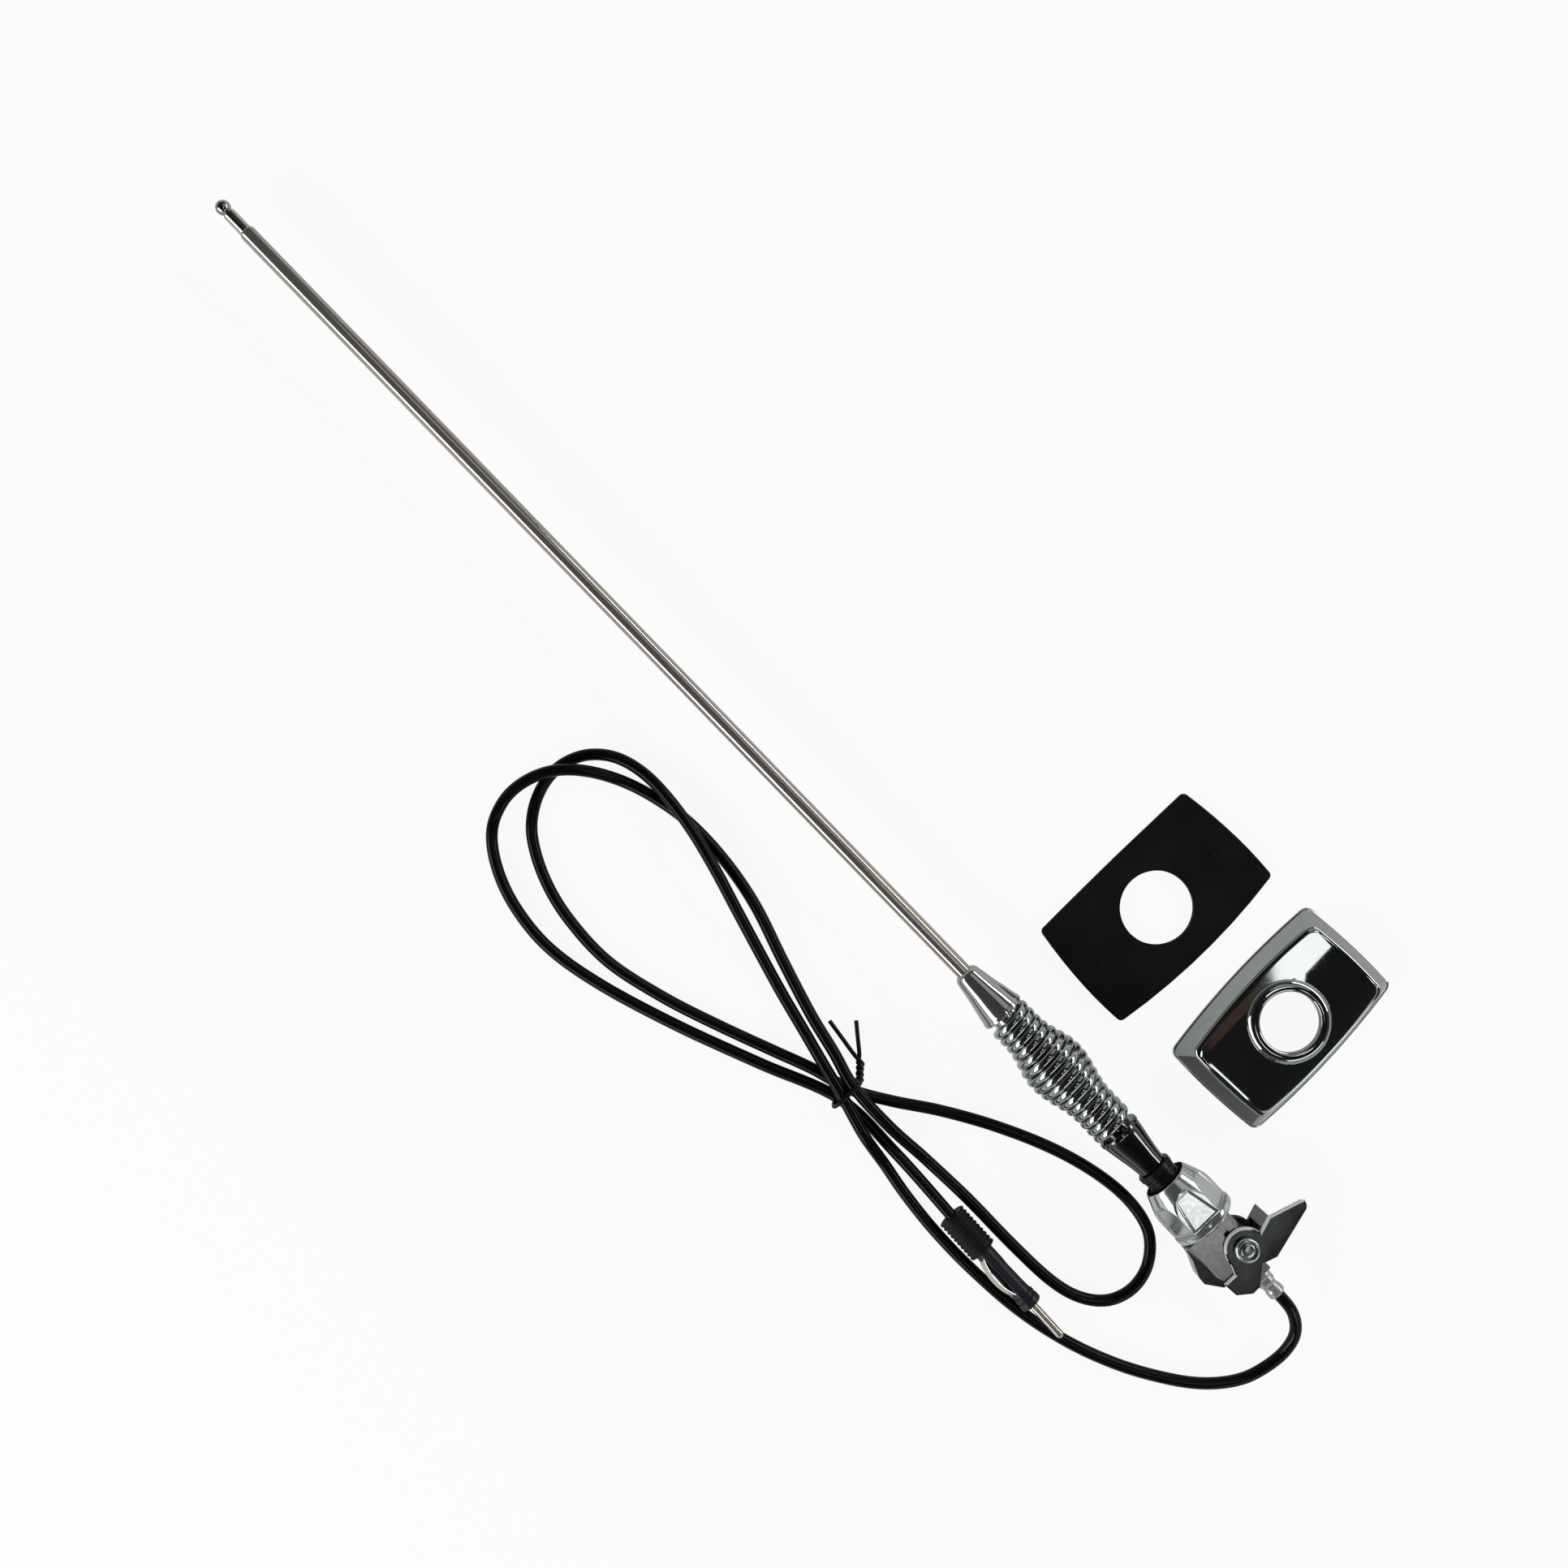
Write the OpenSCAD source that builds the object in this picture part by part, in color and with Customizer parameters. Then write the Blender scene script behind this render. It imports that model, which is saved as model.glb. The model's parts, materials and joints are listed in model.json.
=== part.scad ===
// Spring-base telescopic car aerial, laid flat with its bezel, gasket and tied lead.
// Everything on the mast axis is measured from the seat face, where the head
// meets the car's bodywork. The mast runs towards +X and the lead leaves towards -X.

/* [Telescopic mast] */
// Outside diameter of the lowest, fixed tube
outer_tube_d = 6.2; // [5.8:0.1:7]
// Length of the lowest tube, with its socketed end
outer_tube_len = 404; // [250:1:500]
// Outside diameter of the middle tube
mid_tube_d = 5; // [4.6:0.1:5.2]
// Wall of both tubes
tube_wall = 0.35; // [0.3:0.05:0.5]
// Length of middle tube that shows when the mast is pushed in
mid_tube_show = 9.7; // [4:0.1:20]
// Diameter of the innermost rod
rod_d = 3.2; // [2:0.1:3.4]
// Diameter of the ball on the tip
tip_ball_d = 5.8; // [5.2:0.1:8]
// Length of the brass sliding shoes
shoe_len = 12; // [8:0.5:18]
// Length of the rolled-in mouth of each tube
mouth_len = 3; // [2:0.5:5]
// Running clearance on the radius of every slide
slide_gap = 0.05; // [0.03:0.01:0.08]

/* [Spring] */
// Length of the coil spring between the ferrules
spring_len = 60.8; // [45:0.2:80]
// Number of turns
spring_turns = 16; // [12:1:18]
// Wire diameter
spring_wire_d = 2.9; // [2:0.1:3]
// Outside diameter at both ends
spring_end_d = 17.8; // [16.5:0.1:20]
// Outside diameter at the belly
spring_belly_d = 24.8; // [20:0.1:25.6]
// Place of the belly, measured from the spring's lower end
spring_belly_at = 33; // [28:0.5:38]
// Diameter of the braided conductor inside the spring
braid_d = 2.4; // [1.5:0.1:3.5]

/* [Ferrules] */
// Length of the cone above the spring
upper_ferrule_len = 21.5; // [16:0.5:30]
// Diameter of the upper cone where the mast enters
upper_ferrule_tip_d = 9.4; // [8:0.1:11]
// Depth of the socket that holds the mast
mast_socket = 18; // [10:0.5:18]
// Length of the cone below the spring
lower_ferrule_len = 19; // [14:0.5:26]
// Diameter of the lower cone at its small end
lower_ferrule_tip_d = 11.6; // [10:0.1:13]
// Length of the spigots that the spring is wound onto
spigot_len = 10; // [6:0.5:14]
// Diameter of the stud that holds the lower cone in the insulator
stud_d = 6; // [4:0.1:6]

/* [Ball joint and head] */
// Diameter of the insulator's ball
ball_joint_d = 18.4; // [17.6:0.1:18.6]
// Distance of the ball's centre from the seat face
pivot_at = 14; // [13.5:0.1:15]
// Diameter of the insulator's neck
insulator_neck_d = 13.4; // [12.4:0.1:13.6]
// Length of insulator that shows above the ball
insulator_show = 5; // [3:0.5:8]
// Largest diameter of the chrome head
head_d = 26; // [25:0.1:26]
// Length of the chrome head
head_len = 22.5; // [21:0.5:25]
// Diameter of the head's mouth at its edge
head_mouth_d = 17.6; // [17:0.1:18]
// Distance across the spanner flats
head_across = 21.8; // [21.5:0.1:22.6]
// Height of the plain flange behind the flats
head_flange = 3; // [2:0.5:4]
// Running clearance on the radius of the ball
ball_gap = 0.06; // [0.03:0.01:0.1]

/* [Base casting] */
// Diameter of the round stock the neck is cut from
neck_round_d = 22.6; // [21:0.1:22.8]
// Thickness of the neck across its flats
neck_thick = 15; // [12:0.5:16]
// Reach of the fixed toe from the mast axis
toe_reach = 16.6; // [14:0.1:18]
// Thickness of the toe
toe_thick = 10; // [6:0.5:12]
// Length from the seat face to the casting's tail
base_len = 26; // [25:0.5:30]
// Diameter of the casting's tail, where the lead enters
tail_d = 9.6; // [9:0.1:9.8]

/* [Claw] */
// Distance of the claw's screw below the seat face
claw_at = 14.2; // [14:0.1:15]
// Distance of the claw's screw from the mast axis
claw_side = 3.6; // [3.4:0.1:4]
// Thickness of the claw's steel
claw_plate = 1.6; // [1:0.1:2]
// Radius of the claw's hub
claw_hub_r = 8.1; // [7:0.1:8.4]
// Reach of the claw's wing from its screw
claw_reach = 28; // [24:0.5:32]
// Reach of the web between the claw's cheeks
claw_web_len = 14.6; // [14.4:0.1:18]
// Diameter of the claw's screw
screw_d = 4; // [3:0.1:4.4]
// Diameter of the screw's head
screw_head_d = 9.6; // [8:0.1:11]
// Height of the screw's head and of its nut
screw_head_h = 2.5; // [1.6:0.1:2.6]
// Thickness of the washers between claw and casting
washer_t = 0.5; // [0.3:0.1:0.8]

/* [Lead] */
// Diameter of the lead
lead_d = 4.6; // [4:0.1:4.6]
// Length of the crimp ferrule
crimp_len = 13.7; // [10:0.1:18]
// Diameter of the crimp ferrule
crimp_d = 8.2; // [7:0.1:9]
// Length of crimp ferrule held in the casting
crimp_socket = 2; // [1.5:0.1:3]
// Diameter of the bare conductor
conductor_d = 1.2; // [0.8:0.1:1.2]
// Outside diameter of the conductor's white sleeve
sleeve_d = 2; // [1.8:0.1:2.2]
// Diameter of the tie's wire
tie_wire_d = 1.7; // [1:0.1:1.8]

/* [Plug] */
// Diameter of the ribbed boot
boot_d = 11.2; // [10:0.1:11.4]
// Length of the ribbed boot
boot_len = 17.5; // [12:0.5:20]
// Number of ribs on the boot
boot_ribs = 9; // [3:1:12]
// Diameter of the plug's barrel
barrel_d = 7.2; // [6.4:0.1:8]
// Length of the plug's barrel between boot and collar
barrel_len = 22; // [18:0.5:26]
// Diameter of the plug's end collar
plug_collar_d = 8.6; // [8:0.1:9]
// Length of the plug's end collar
plug_collar_len = 5.5; // [4:0.5:7]
// Diameter of the plug's pin
plug_pin_d = 3.2; // [2.8:0.1:3.4]
// Length of pin that shows
plug_pin_len = 16.5; // [14:0.5:17]
// How far the earth spring bows out from the barrel
leaf_bow = 2.4; // [1:0.1:2.6]
// Width of the earth spring
leaf_w = 3.2; // [2:0.1:3.6]
// Turn of the leaf round the plug, from the side towards the top
leaf_roll = 35; // [0:5:60]

/* [Gasket] */
// Length of the rubber gasket
gasket_l = 81; // [70:0.2:90]
// Width of the rubber gasket
gasket_w = 49.6; // [44:0.2:54]
// Thickness of the rubber gasket
gasket_t = 3; // [2:0.2:5]
// Diameter of the gasket's hole
gasket_hole_d = 28.2; // [24:0.1:32]
// Diameter of the two moulded pips
pip_d = 2.4; // [1.6:0.1:4]
// Height of the two moulded pips
pip_h = 0.6; // [0.4:0.1:1.2]
// Radius of the gasket's four corners
gasket_corner = 1.6; // [1:0.1:5]
// How far the gasket's rounder long side bows out in its middle
gasket_bow = 3.1; // [1:0.1:4]

/* [Bezel] */
// Length of the chrome bezel at its foot
bezel_l = 78.4; // [70:0.2:84]
// Width of the chrome bezel at its foot
bezel_w = 48.6; // [44:0.2:52]
// Height of the chrome bezel
bezel_h = 12.6; // [9:0.1:16]
// How far each side slopes in from foot to top
bezel_slope = 4; // [2:0.1:6]
// Slope of the bezel's ends: how far its base reaches out past its top
bezel_end_slope = 5.2; // [3:0.1:6]
// Wall of the chrome bezel
bezel_wall = 1.6; // [1.2:0.1:2.4]
// Diameter of the bezel's hole
bezel_hole_d = 23; // [22:0.1:25]
// Outside diameter of the raised ring round the hole
bezel_ring_d = 32; // [28:0.1:34]
// Height of the raised ring
bezel_ring_h = 1.6; // [0.8:0.1:2.4]
// Radius of the bezel's four corners
bezel_corner = 3; // [2:0.1:5]
// How far the bezel's long sides bow out in their middles
bezel_bow = 2.2; // [1:0.1:4]

/* [Hidden] */
$fn = 64;
eps = 0.01;
seat_gap = 0.05;

// Places along the mast axis, from the seat face
insulator_top = pivot_at + ball_joint_d / 2 + 1 + insulator_show;
lower_top = insulator_top + lower_ferrule_len;
spring_top = lower_top + spring_len;
upper_top = spring_top + upper_ferrule_len;
outer_foot = upper_top - mast_socket;
outer_top = outer_foot + outer_tube_len;
mid_top = outer_top + mid_tube_show;
mid_foot = outer_foot + 12;
rod_foot = mid_foot + 8;
ball_at = mid_top + tip_ball_d / 2 - 0.1;
mast_end = ball_at + tip_ball_d / 2;
crimp_top = -base_len + crimp_socket;
crimp_foot = crimp_top - crimp_len;

// The part's origin lies under the middle of everything but the lead and its plug
bezel_at = [32, -74.6];
bezel_turn = 3;
bezel_shape = [bezel_bow, bezel_bow, 1, 0];
gasket_shape = [gasket_bow, 0.4, 1.5, 1.1];
gasket_at = [95.4, -69.7];
axis_z = head_d / 2;
seat_x = -(mast_end + crimp_foot) / 2;
axis_y = -(toe_reach + bezel_at[1] - bezel_l / 2) / 2;

// Bores of the telescopic tubes
outer_bore_r = outer_tube_d / 2 - tube_wall;
mid_bore_r = mid_tube_d / 2 - tube_wall;

// Ball's socket, and the head's thread on the casting, drawn as a plain cylinder
socket_r = ball_joint_d / 2 + ball_gap;
head_thread_r = ball_joint_d / 2 + 0.4;

// Spring
wire_r = spring_wire_d / 2;
wire_sides = 8;
turn_steps = 18;
belly_rise = (spring_belly_d - spring_end_d) / 2;
spigot_d = spring_end_d - 2 * spring_wire_d - 0.4;

// Facets of each corner and each side of the bezel and the gasket
corner_steps = 4;
side_steps = 7;

// Neck, its round stock's offset, and claw faces, measured from the mast axis
neck_half = neck_thick / 2;
neck_round_at = 2.3;
pin_root_r = plug_pin_d / 2 - 0.5;
claw_inner = neck_half + washer_t + 2 * seat_gap;
claw_outer = claw_inner + claw_plate;
// The claw's outlines are drawn for a hub radius of 8.1, the casting's for a neck of 22.6
claw_k = claw_hub_r / 8.1;
neck_k = neck_round_d / 22.6;

// Lead: points chosen by hand from the seat face, on the table or over a lower strand
crimp_side = -0.6;
lead_route = [
    [-26.5, -0.6, 13], [-38, -0.6, 13], [-47.5, 0.4, 11.2], [-55, 5, 8], [-59, 13, 5],
    [-59, 23, 3], [-55.5, 32.5, 2.4], [-48, 42.5, 2.4], [-37, 51.5, 2.4], [-20, 61.5, 2.4],
    [0, 69.5, 2.4], [22, 74.6, 2.4], [45, 76.6, 2.4], [65, 76.6, 2.4], [83, 75, 2.4],
    [98, 72.4, 4], [112, 70, 7.5], [128, 65.6, 8.3], [141, 62.5, 7.9], [154, 59.5, 4.2],
    [171, 55.5, 2.4], [189, 50.5, 3], [206, 45.5, 5.4], [223, 40.5, 7.2], [240, 36.5, 7.2],
    [256, 34.5, 6.6], [269, 35, 3.6], [280, 38.5, 2.4], [288, 45.5, 2.4], [292, 55, 2.4],
    [291.5, 65, 2.4], [287, 75, 2.4], [279, 83, 2.4], [265, 90, 2.4], [248, 94, 2.4],
    [226, 94.5, 2.4], [202, 89, 2.4], [180, 81.5, 2.4], [158, 73, 2.6], [143, 67, 3.4],
    [127, 62, 3.5], [113, 54, 2.8], [97, 43, 2.4], [78, 32, 2.4], [57, 22.5, 2.4],
    [38, 17, 2.4], [22, 15.5, 2.4], [9, 18.5, 2.4], [0.5, 27, 2.4], [-2.2, 37.5, 2.4],
    [1, 47.5, 2.4], [9.5, 54.5, 2.4], [22, 58, 2.4], [42, 59, 2.4], [66, 59, 2.4],
    [88, 60, 2.6], [107, 61, 6.1], [127, 60.2, 8.3], [142, 56.5, 6.4], [158, 53, 3.4],
    [180, 46.5, 2.4], [202, 39.5, 2.4], [222, 36, 2.4], [242, 35.5, 2.4], [259, 38.5, 2.4],
    [273, 43.5, 3.2], [284.5, 50.5, 6.2], [292.5, 59, 7.2], [297, 69.5, 5.4], [297.5, 80.5, 2.8],
    [292.5, 91.5, 2.4], [281, 100, 2.4], [265, 105.5, 2.4], [245, 107, 2.4], [221, 102.5, 2.4],
    [190, 92.5, 2.4], [158, 80, 2.6], [127, 67.4, 3.4], [97, 66.6, 2.6], [65.6, 67.7, 5.7]
];

// Plug: where its boot begins, and how it lies
plug_at = [66.5, 67.7, 5.7];
plug_turn = 178.5;
plug_tilt = 1.8;

// Tie round the four strands
tie_at = [127.4, 63.9];
tie_w = 15;
tie_h = 11.9;
tie_wall = 0.9;
tie_stem = [127.4, 56.7, 4];
tie_fork = [131.6, 52.4, 2.2];
tie_end_a = [151, 49.8, 0.8];
tie_end_b = [144, 42.4, 0.8];

// Unit vector along v
function unit(v) = v / norm(v);

// Direction of a path at its point i
function heading(path, i) =
    let (last = len(path) - 1)
    unit(path[min(i + 1, last)] - path[max(i - 1, 0)]);

// Side vector of a path at its point i, level with the table
function sideways(path, i) = unit(cross([0, 0, 1], heading(path, i)));

// A round bar of radius r swept along a path of points
module swept(path, r, sides) {
    last = len(path) - 1;
    rings = [
        for (i = [0 : last])
            let (side = sideways(path, i), up = cross(heading(path, i), side))
                for (k = [0 : sides - 1])
                    path[i] + r * (cos(360 * k / sides) * side + sin(360 * k / sides) * up)
    ];
    walls = [
        for (i = [0 : last - 1], k = [0 : sides - 1])
            let (a = i * sides + k, b = i * sides + (k + 1) % sides)
                [a, a + sides, b + sides, b]
    ];
    near_cap = [for (k = [0 : sides - 1]) k];
    far_cap = [for (k = [sides - 1 : -1 : 0]) last * sides + k];
    polyhedron(concat(rings), concat(walls, [near_cap], [far_cap]), convexity = 10);
}

// Puts children at a place on the mast axis, measured from the seat face
module on_axis(x = 0, y = 0, z = 0) {
    translate([seat_x + x, axis_y + y, axis_z + z]) children();
}

// Puts children on the table, measured from the seat face
module on_table(x = 0, y = 0) {
    translate([seat_x + x, axis_y + y, 0]) children();
}

// A piece turned on a lathe: the profile lists [radius, distance along the axis]
module turned(profile) {
    rotate([0, 90, 0]) rotate_extrude() polygon(profile);
}

// A straight round bar along the mast axis
module bar(from, to, r) {
    translate([from, 0, 0]) rotate([0, 90, 0]) cylinder(h = to - from, r = r);
}

// Bends a point p of a rectangle with half sizes a and b. shape holds the bow of its
// upper long side, of its lower one and of its ends, and the taper of its length
function bowed(p, a, b, shape) =
    let (u = p[0] / a, v = p[1] / b)
    let (side = v > 0 ? shape[0] : shape[1])
        [p[0] + u * (shape[3] * v - shape[2] * v * v), p[1] - v * side * u * u];

// Bowed outline with small round corners: half sizes a and b at the middles of its sides
function pillow_outline(a, b, corner, shape) =
    let (x = a - corner, y = b - corner)
    let (centres = [[x, y], [-x, y], [-x, -y], [x, -y]])
    [
        for (q = [0 : 3])
            let (here = centres[q], next = centres[(q + 1) % 4], out = 90 * (q + 1))
            let (edge = corner * [cos(out), sin(out)])
                for (p = concat(
                    [
                        for (k = [0 : corner_steps])
                            let (t = out - 90 + 90 * k / corner_steps)
                                here + corner * [cos(t), sin(t)]
                    ],
                    [for (k = [1 : side_steps - 1]) here + edge + (next - here) * k / side_steps]
                ))
                    bowed(p, a, b, shape)
    ];

// A closed form through several levels, each [height, half length, half width]
module pillow(levels, corner, shape) {
    last = len(levels) - 1;
    count = 4 * (corner_steps + side_steps);
    points = [
        for (level = levels, p = pillow_outline(level[1], level[2], corner, shape))
            [p[0], p[1], level[0]]
    ];
    walls = [
        for (i = [0 : last - 1], k = [0 : count - 1])
            let (a = i * count + k, b = i * count + (k + 1) % count)
                [a, a + count, b + count, b]
    ];
    floor_face = [for (k = [0 : count - 1]) k];
    top_face = [for (k = [count - 1 : -1 : 0]) last * count + k];
    polyhedron(points, concat(walls, [floor_face], [top_face]), convexity = 6);
}

// Telescopic mast
module tip_ball() {
    color("silver")
    on_axis() difference() {
        translate([ball_at, 0, 0]) sphere(d = tip_ball_d);
        bar(ball_at - tip_ball_d, ball_at + seat_gap, rod_d / 2 + seat_gap / 2);
    }
}

module top_rod() {
    color("silver") on_axis() bar(rod_foot, ball_at, rod_d / 2);
}

// Brass sleeve that steadies an inner section and stops it at the outer mouth
module slide_shoe(foot, inner_r, bore_r) {
    r = bore_r - slide_gap;
    turned([
        [inner_r, foot], [r - 0.1, foot], [r, foot + 0.3],
        [r, foot + shoe_len - 0.3], [r - 0.1, foot + shoe_len], [inner_r, foot + shoe_len]
    ]);
}

module top_shoe() {
    color("gold") on_axis() slide_shoe(rod_foot, rod_d / 2, mid_bore_r);
}

// Thin tube whose mouth is rolled in to guide the section inside it
module rolled_tube(foot, top, outer_r, bore_r, guide_r) {
    turned([
        [bore_r, foot], [outer_r, foot], [outer_r, top - 0.6], [outer_r - 0.2, top],
        [guide_r, top], [guide_r, top - mouth_len], [bore_r, top - mouth_len - 0.5]
    ]);
}

module mid_tube() {
    color("silver")
    on_axis() rolled_tube(mid_foot, mid_top, mid_tube_d / 2, mid_bore_r, rod_d / 2 + slide_gap);
}

module mid_shoe() {
    color("gold") on_axis() slide_shoe(mid_foot, mid_tube_d / 2, outer_bore_r);
}

module outer_tube() {
    color("silver")
    on_axis() rolled_tube(
        outer_foot, outer_top, outer_tube_d / 2, outer_bore_r, mid_tube_d / 2 + slide_gap
    );
}

// Ferrules and spring
module upper_ferrule() {
    foot_r = spring_end_d / 2 - 0.2;
    tip_r = upper_ferrule_tip_d / 2;
    color("gainsboro")
    on_axis() difference() {
        turned([
            [0, spring_top - spigot_len], [spigot_d / 2 - 0.6, spring_top - spigot_len],
            [spigot_d / 2, spring_top - spigot_len + 0.8], [spigot_d / 2, spring_top],
            [foot_r - 0.3, spring_top], [foot_r, spring_top + 0.4],
            [foot_r, spring_top + 1.6], [foot_r - 0.5, spring_top + 2],
            [tip_r + 0.5, upper_top - 2.6], [tip_r + 0.2, upper_top - 1.2],
            [tip_r - 0.5, upper_top - 0.3], [tip_r - 1, upper_top], [0, upper_top]
        ]);
        bar(outer_foot, upper_top + eps, outer_tube_d / 2 + seat_gap);
        bar(spring_top - spigot_len - eps, spring_top - spigot_len + 6, braid_d / 2 + seat_gap);
    }
}

// Outside radius of the spring at a distance u from its lower end
function spring_r(u) =
    let (half = u < spring_belly_at ? spring_belly_at * 0.62 : (spring_len - spring_belly_at) * 0.64)
    let (reach = min(abs(u - spring_belly_at) / half, 1))
    spring_end_d / 2 - wire_r + belly_rise * (0.5 + 0.5 * cos(180 * reach));

// Ring frames that follow a barrel-shaped coil
module spring() {
    steps = spring_turns * turn_steps;
    span = spring_len - 2 * wire_r - 2 * seat_gap;
    rings = [
        for (i = [0 : steps])
            let (turn = 360 * i / turn_steps, u = wire_r + seat_gap + span * i / steps)
            let (mid = spring_r(u), out = [0, sin(turn), -cos(turn)])
                for (k = [0 : wire_sides - 1])
                    let (a = 360 * k / wire_sides)
                        [lower_top + u + wire_r * sin(a), 0, 0] + (mid + wire_r * cos(a)) * out
    ];
    walls = [
        for (i = [0 : steps - 1], k = [0 : wire_sides - 1])
            let (a = i * wire_sides + k, b = i * wire_sides + (k + 1) % wire_sides)
                [a, b, b + wire_sides, a + wire_sides]
    ];
    near_cap = [for (k = [wire_sides - 1 : -1 : 0]) k];
    far_cap = [for (k = [0 : wire_sides - 1]) steps * wire_sides + k];
    color("silver")
    on_axis() polyhedron(rings, concat(walls, [near_cap], [far_cap]), convexity = 20);
}

module braid() {
    color("peru")
    on_axis() bar(lower_top + spigot_len - 5, spring_top - spigot_len + 5, braid_d / 2);
}

module lower_ferrule() {
    foot_r = lower_ferrule_tip_d / 2;
    top_r = spring_end_d / 2 - 0.2;
    color("gainsboro")
    on_axis() difference() {
        turned([
            [0, pivot_at - 6], [stud_d / 2 - 0.5, pivot_at - 6], [stud_d / 2, pivot_at - 5.5],
            [stud_d / 2, insulator_top], [foot_r - 0.4, insulator_top],
            [foot_r, insulator_top + 0.5], [foot_r + 0.1, insulator_top + 2],
            [top_r - 0.5, lower_top - 2], [top_r, lower_top - 1.6], [top_r, lower_top - 0.4],
            [top_r - 0.3, lower_top], [spigot_d / 2, lower_top],
            [spigot_d / 2, lower_top + spigot_len - 0.8],
            [spigot_d / 2 - 0.6, lower_top + spigot_len], [0, lower_top + spigot_len]
        ]);
        bar(lower_top + spigot_len - 6, lower_top + spigot_len + eps, braid_d / 2 + seat_gap);
    }
}

// Black insulator: a ball in the head, a neck and a lip under the lower cone
module insulator() {
    neck_r = insulator_neck_d / 2;
    lip = insulator_top - 2.6;
    color([0.08, 0.08, 0.08])
    on_axis() difference() {
        union() {
            translate([pivot_at, 0, 0]) sphere(d = ball_joint_d);
            turned([
                [0, pivot_at], [neck_r, pivot_at], [neck_r, lip - 0.5], [neck_r - 0.3, lip - 0.3],
                [neck_r - 0.3, lip], [neck_r + 0.4, lip + 0.2], [neck_r + 0.4, insulator_top - 0.5],
                [neck_r, insulator_top - seat_gap], [0, insulator_top - seat_gap]
            ]);
        }
        bar(-pivot_at, insulator_top + eps, stud_d / 2 + seat_gap);
    }
}

// Chrome head: a domed nut with six spanner flats that traps the ball
module head_nut() {
    r = head_d / 2;
    mouth_r = head_mouth_d / 2;
    dome_len = 4.5;
    flat_len = head_len - head_flange - dome_len;
    color("gainsboro")
    on_axis() difference() {
        turned([
            [0, 0], [r - 0.9, 0], [r - 0.1, 0.9], [r, 2], [r, 10.5], [r - 0.3, 12.5],
            [r - 1.1, 15.5], [r - 2.1, 18.2], [r - 3.2, head_len - 1.8],
            [mouth_r + 0.8, head_len - 0.4], [mouth_r + 0.3, head_len], [0, head_len]
        ]);
        for (k = [0 : 5])
            rotate([60 * k, 0, 0])
            translate([head_flange, -r, head_across / 2])
            cube([flat_len, 2 * r, r]);
        for (k = [0 : 5])
            rotate([60 * k, 0, 0])
            translate([0, 0, head_across / 2 - 0.35])
            linear_extrude(height = r)
            polygon([
                [head_flange + 1, -6], [head_flange + 1, 6],
                [head_flange + flat_len - 1.4, 2.9], [head_flange + flat_len - 1.4, -2.9]
            ]);
        turned(concat(
            [[0, -eps], [head_thread_r, -eps], [head_thread_r, pivot_at]],
            [for (a = [0 : 2 : 30]) [socket_r * cos(a), pivot_at + socket_r * sin(a)]],
            [[mouth_r, head_len + eps], [0, head_len + eps]]
        ));
    }
}

// Plan of the neck and tail: a flat-sided blade that passes the hole in the bodywork
module neck_plan() {
    k = neck_k;
    side = -neck_round_d / 2 + 3 * k;
    hub = [-claw_at, -claw_side];
    low = -tail_d / 2 + crimp_side;
    union() {
        polygon([
            [0, side], [0, 12.9 * k], [-12 * k, 12.9 * k], [-19 * k, 10 * k],
            [-base_len + 3 * k, 5.2 * k], [-base_len, tail_d / 2 + crimp_side],
            [-base_len, low], [-base_len + 3 * k, low],
            [-claw_at - 4 * k, -claw_side - 3.4 * k], [-claw_at, side], [-claw_at + 4 * k, side]
        ]);
        translate(hub) circle(r = 5.8 * k);
    }
}

// Fixed toe that hooks under the edge of the hole
module toe_plan() {
    tip = toe_reach / neck_k;
    scale(neck_k) polygon([
        [-1, 8], [-1, 12.9], [-5, 13.6], [-8.5, 15.2], [-11.5, tip - 0.2],
        [-14.3, tip], [-20.4, tip - 4.4], [-20.4, 7.4]
    ]);
}

// Zinc base casting with its threaded boss, neck, toe and tail
module base_body() {
    pocket = toe_reach / neck_k - 10.6;
    color([0.66, 0.66, 0.65])
    on_axis() difference() {
        union() {
            bar(-1, pivot_at - 7, head_thread_r - seat_gap);
            intersection() {
                translate([0, 0, -neck_half]) linear_extrude(height = neck_thick) neck_plan();
                translate([0, neck_round_at, 0]) bar(-base_len - 1, 0, neck_round_d / 2);
            }
            translate([0, 0, -toe_thick / 2]) linear_extrude(height = toe_thick) toe_plan();
        }
        translate([pivot_at, 0, 0]) sphere(r = socket_r);
        bar(-base_len - eps, pivot_at, sleeve_d / 2 + seat_gap);
        translate([0, crimp_side, 0])
        bar(-base_len - eps, crimp_top + seat_gap, crimp_d / 2 + seat_gap);
        translate([-claw_at, -claw_side, -neck_thick])
        cylinder(h = 2 * neck_thick, d = screw_d + 2 * seat_gap);
        for (face = [0, 180])
            rotate([face, 0, 0])
            scale([neck_k, neck_k, 1])
            translate([-7.4, -3.6, neck_half - 1.4])
            cube([6.4, 2.4, neck_thick]);
        for (face = [1, -1])
            translate([0, 0, face * toe_thick / 2 - 1])
            linear_extrude(height = 2)
            scale(neck_k)
            translate([-19.4, 9])
            polygon([[0, 0], [0, 3.2], [5.5, pocket], [7.2, pocket], [7.2, 0]]);
    }
}

module contact_wire() {
    color("goldenrod")
    on_axis() bar(-base_len - 0.4, pivot_at - 6.4, conductor_d / 2);
}

module wire_sleeve() {
    color("white")
    on_axis() difference() {
        bar(crimp_top + 0.2, pivot_at - 9.3, sleeve_d / 2);
        bar(-base_len, pivot_at, conductor_d / 2 + seat_gap / 2);
    }
}

// Plan of one cheek of the claw, measured from its screw
module claw_plan() {
    circle(r = claw_hub_r);
    scale(claw_k) polygon([
        [-8, -1], [-13.7, 6], [-13.7, 9.6], [-9.8, 14.5], [-3.7, 15], [-3.8, 9.6], [0.6, 7.8], [0, 0]
    ]);
}

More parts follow.
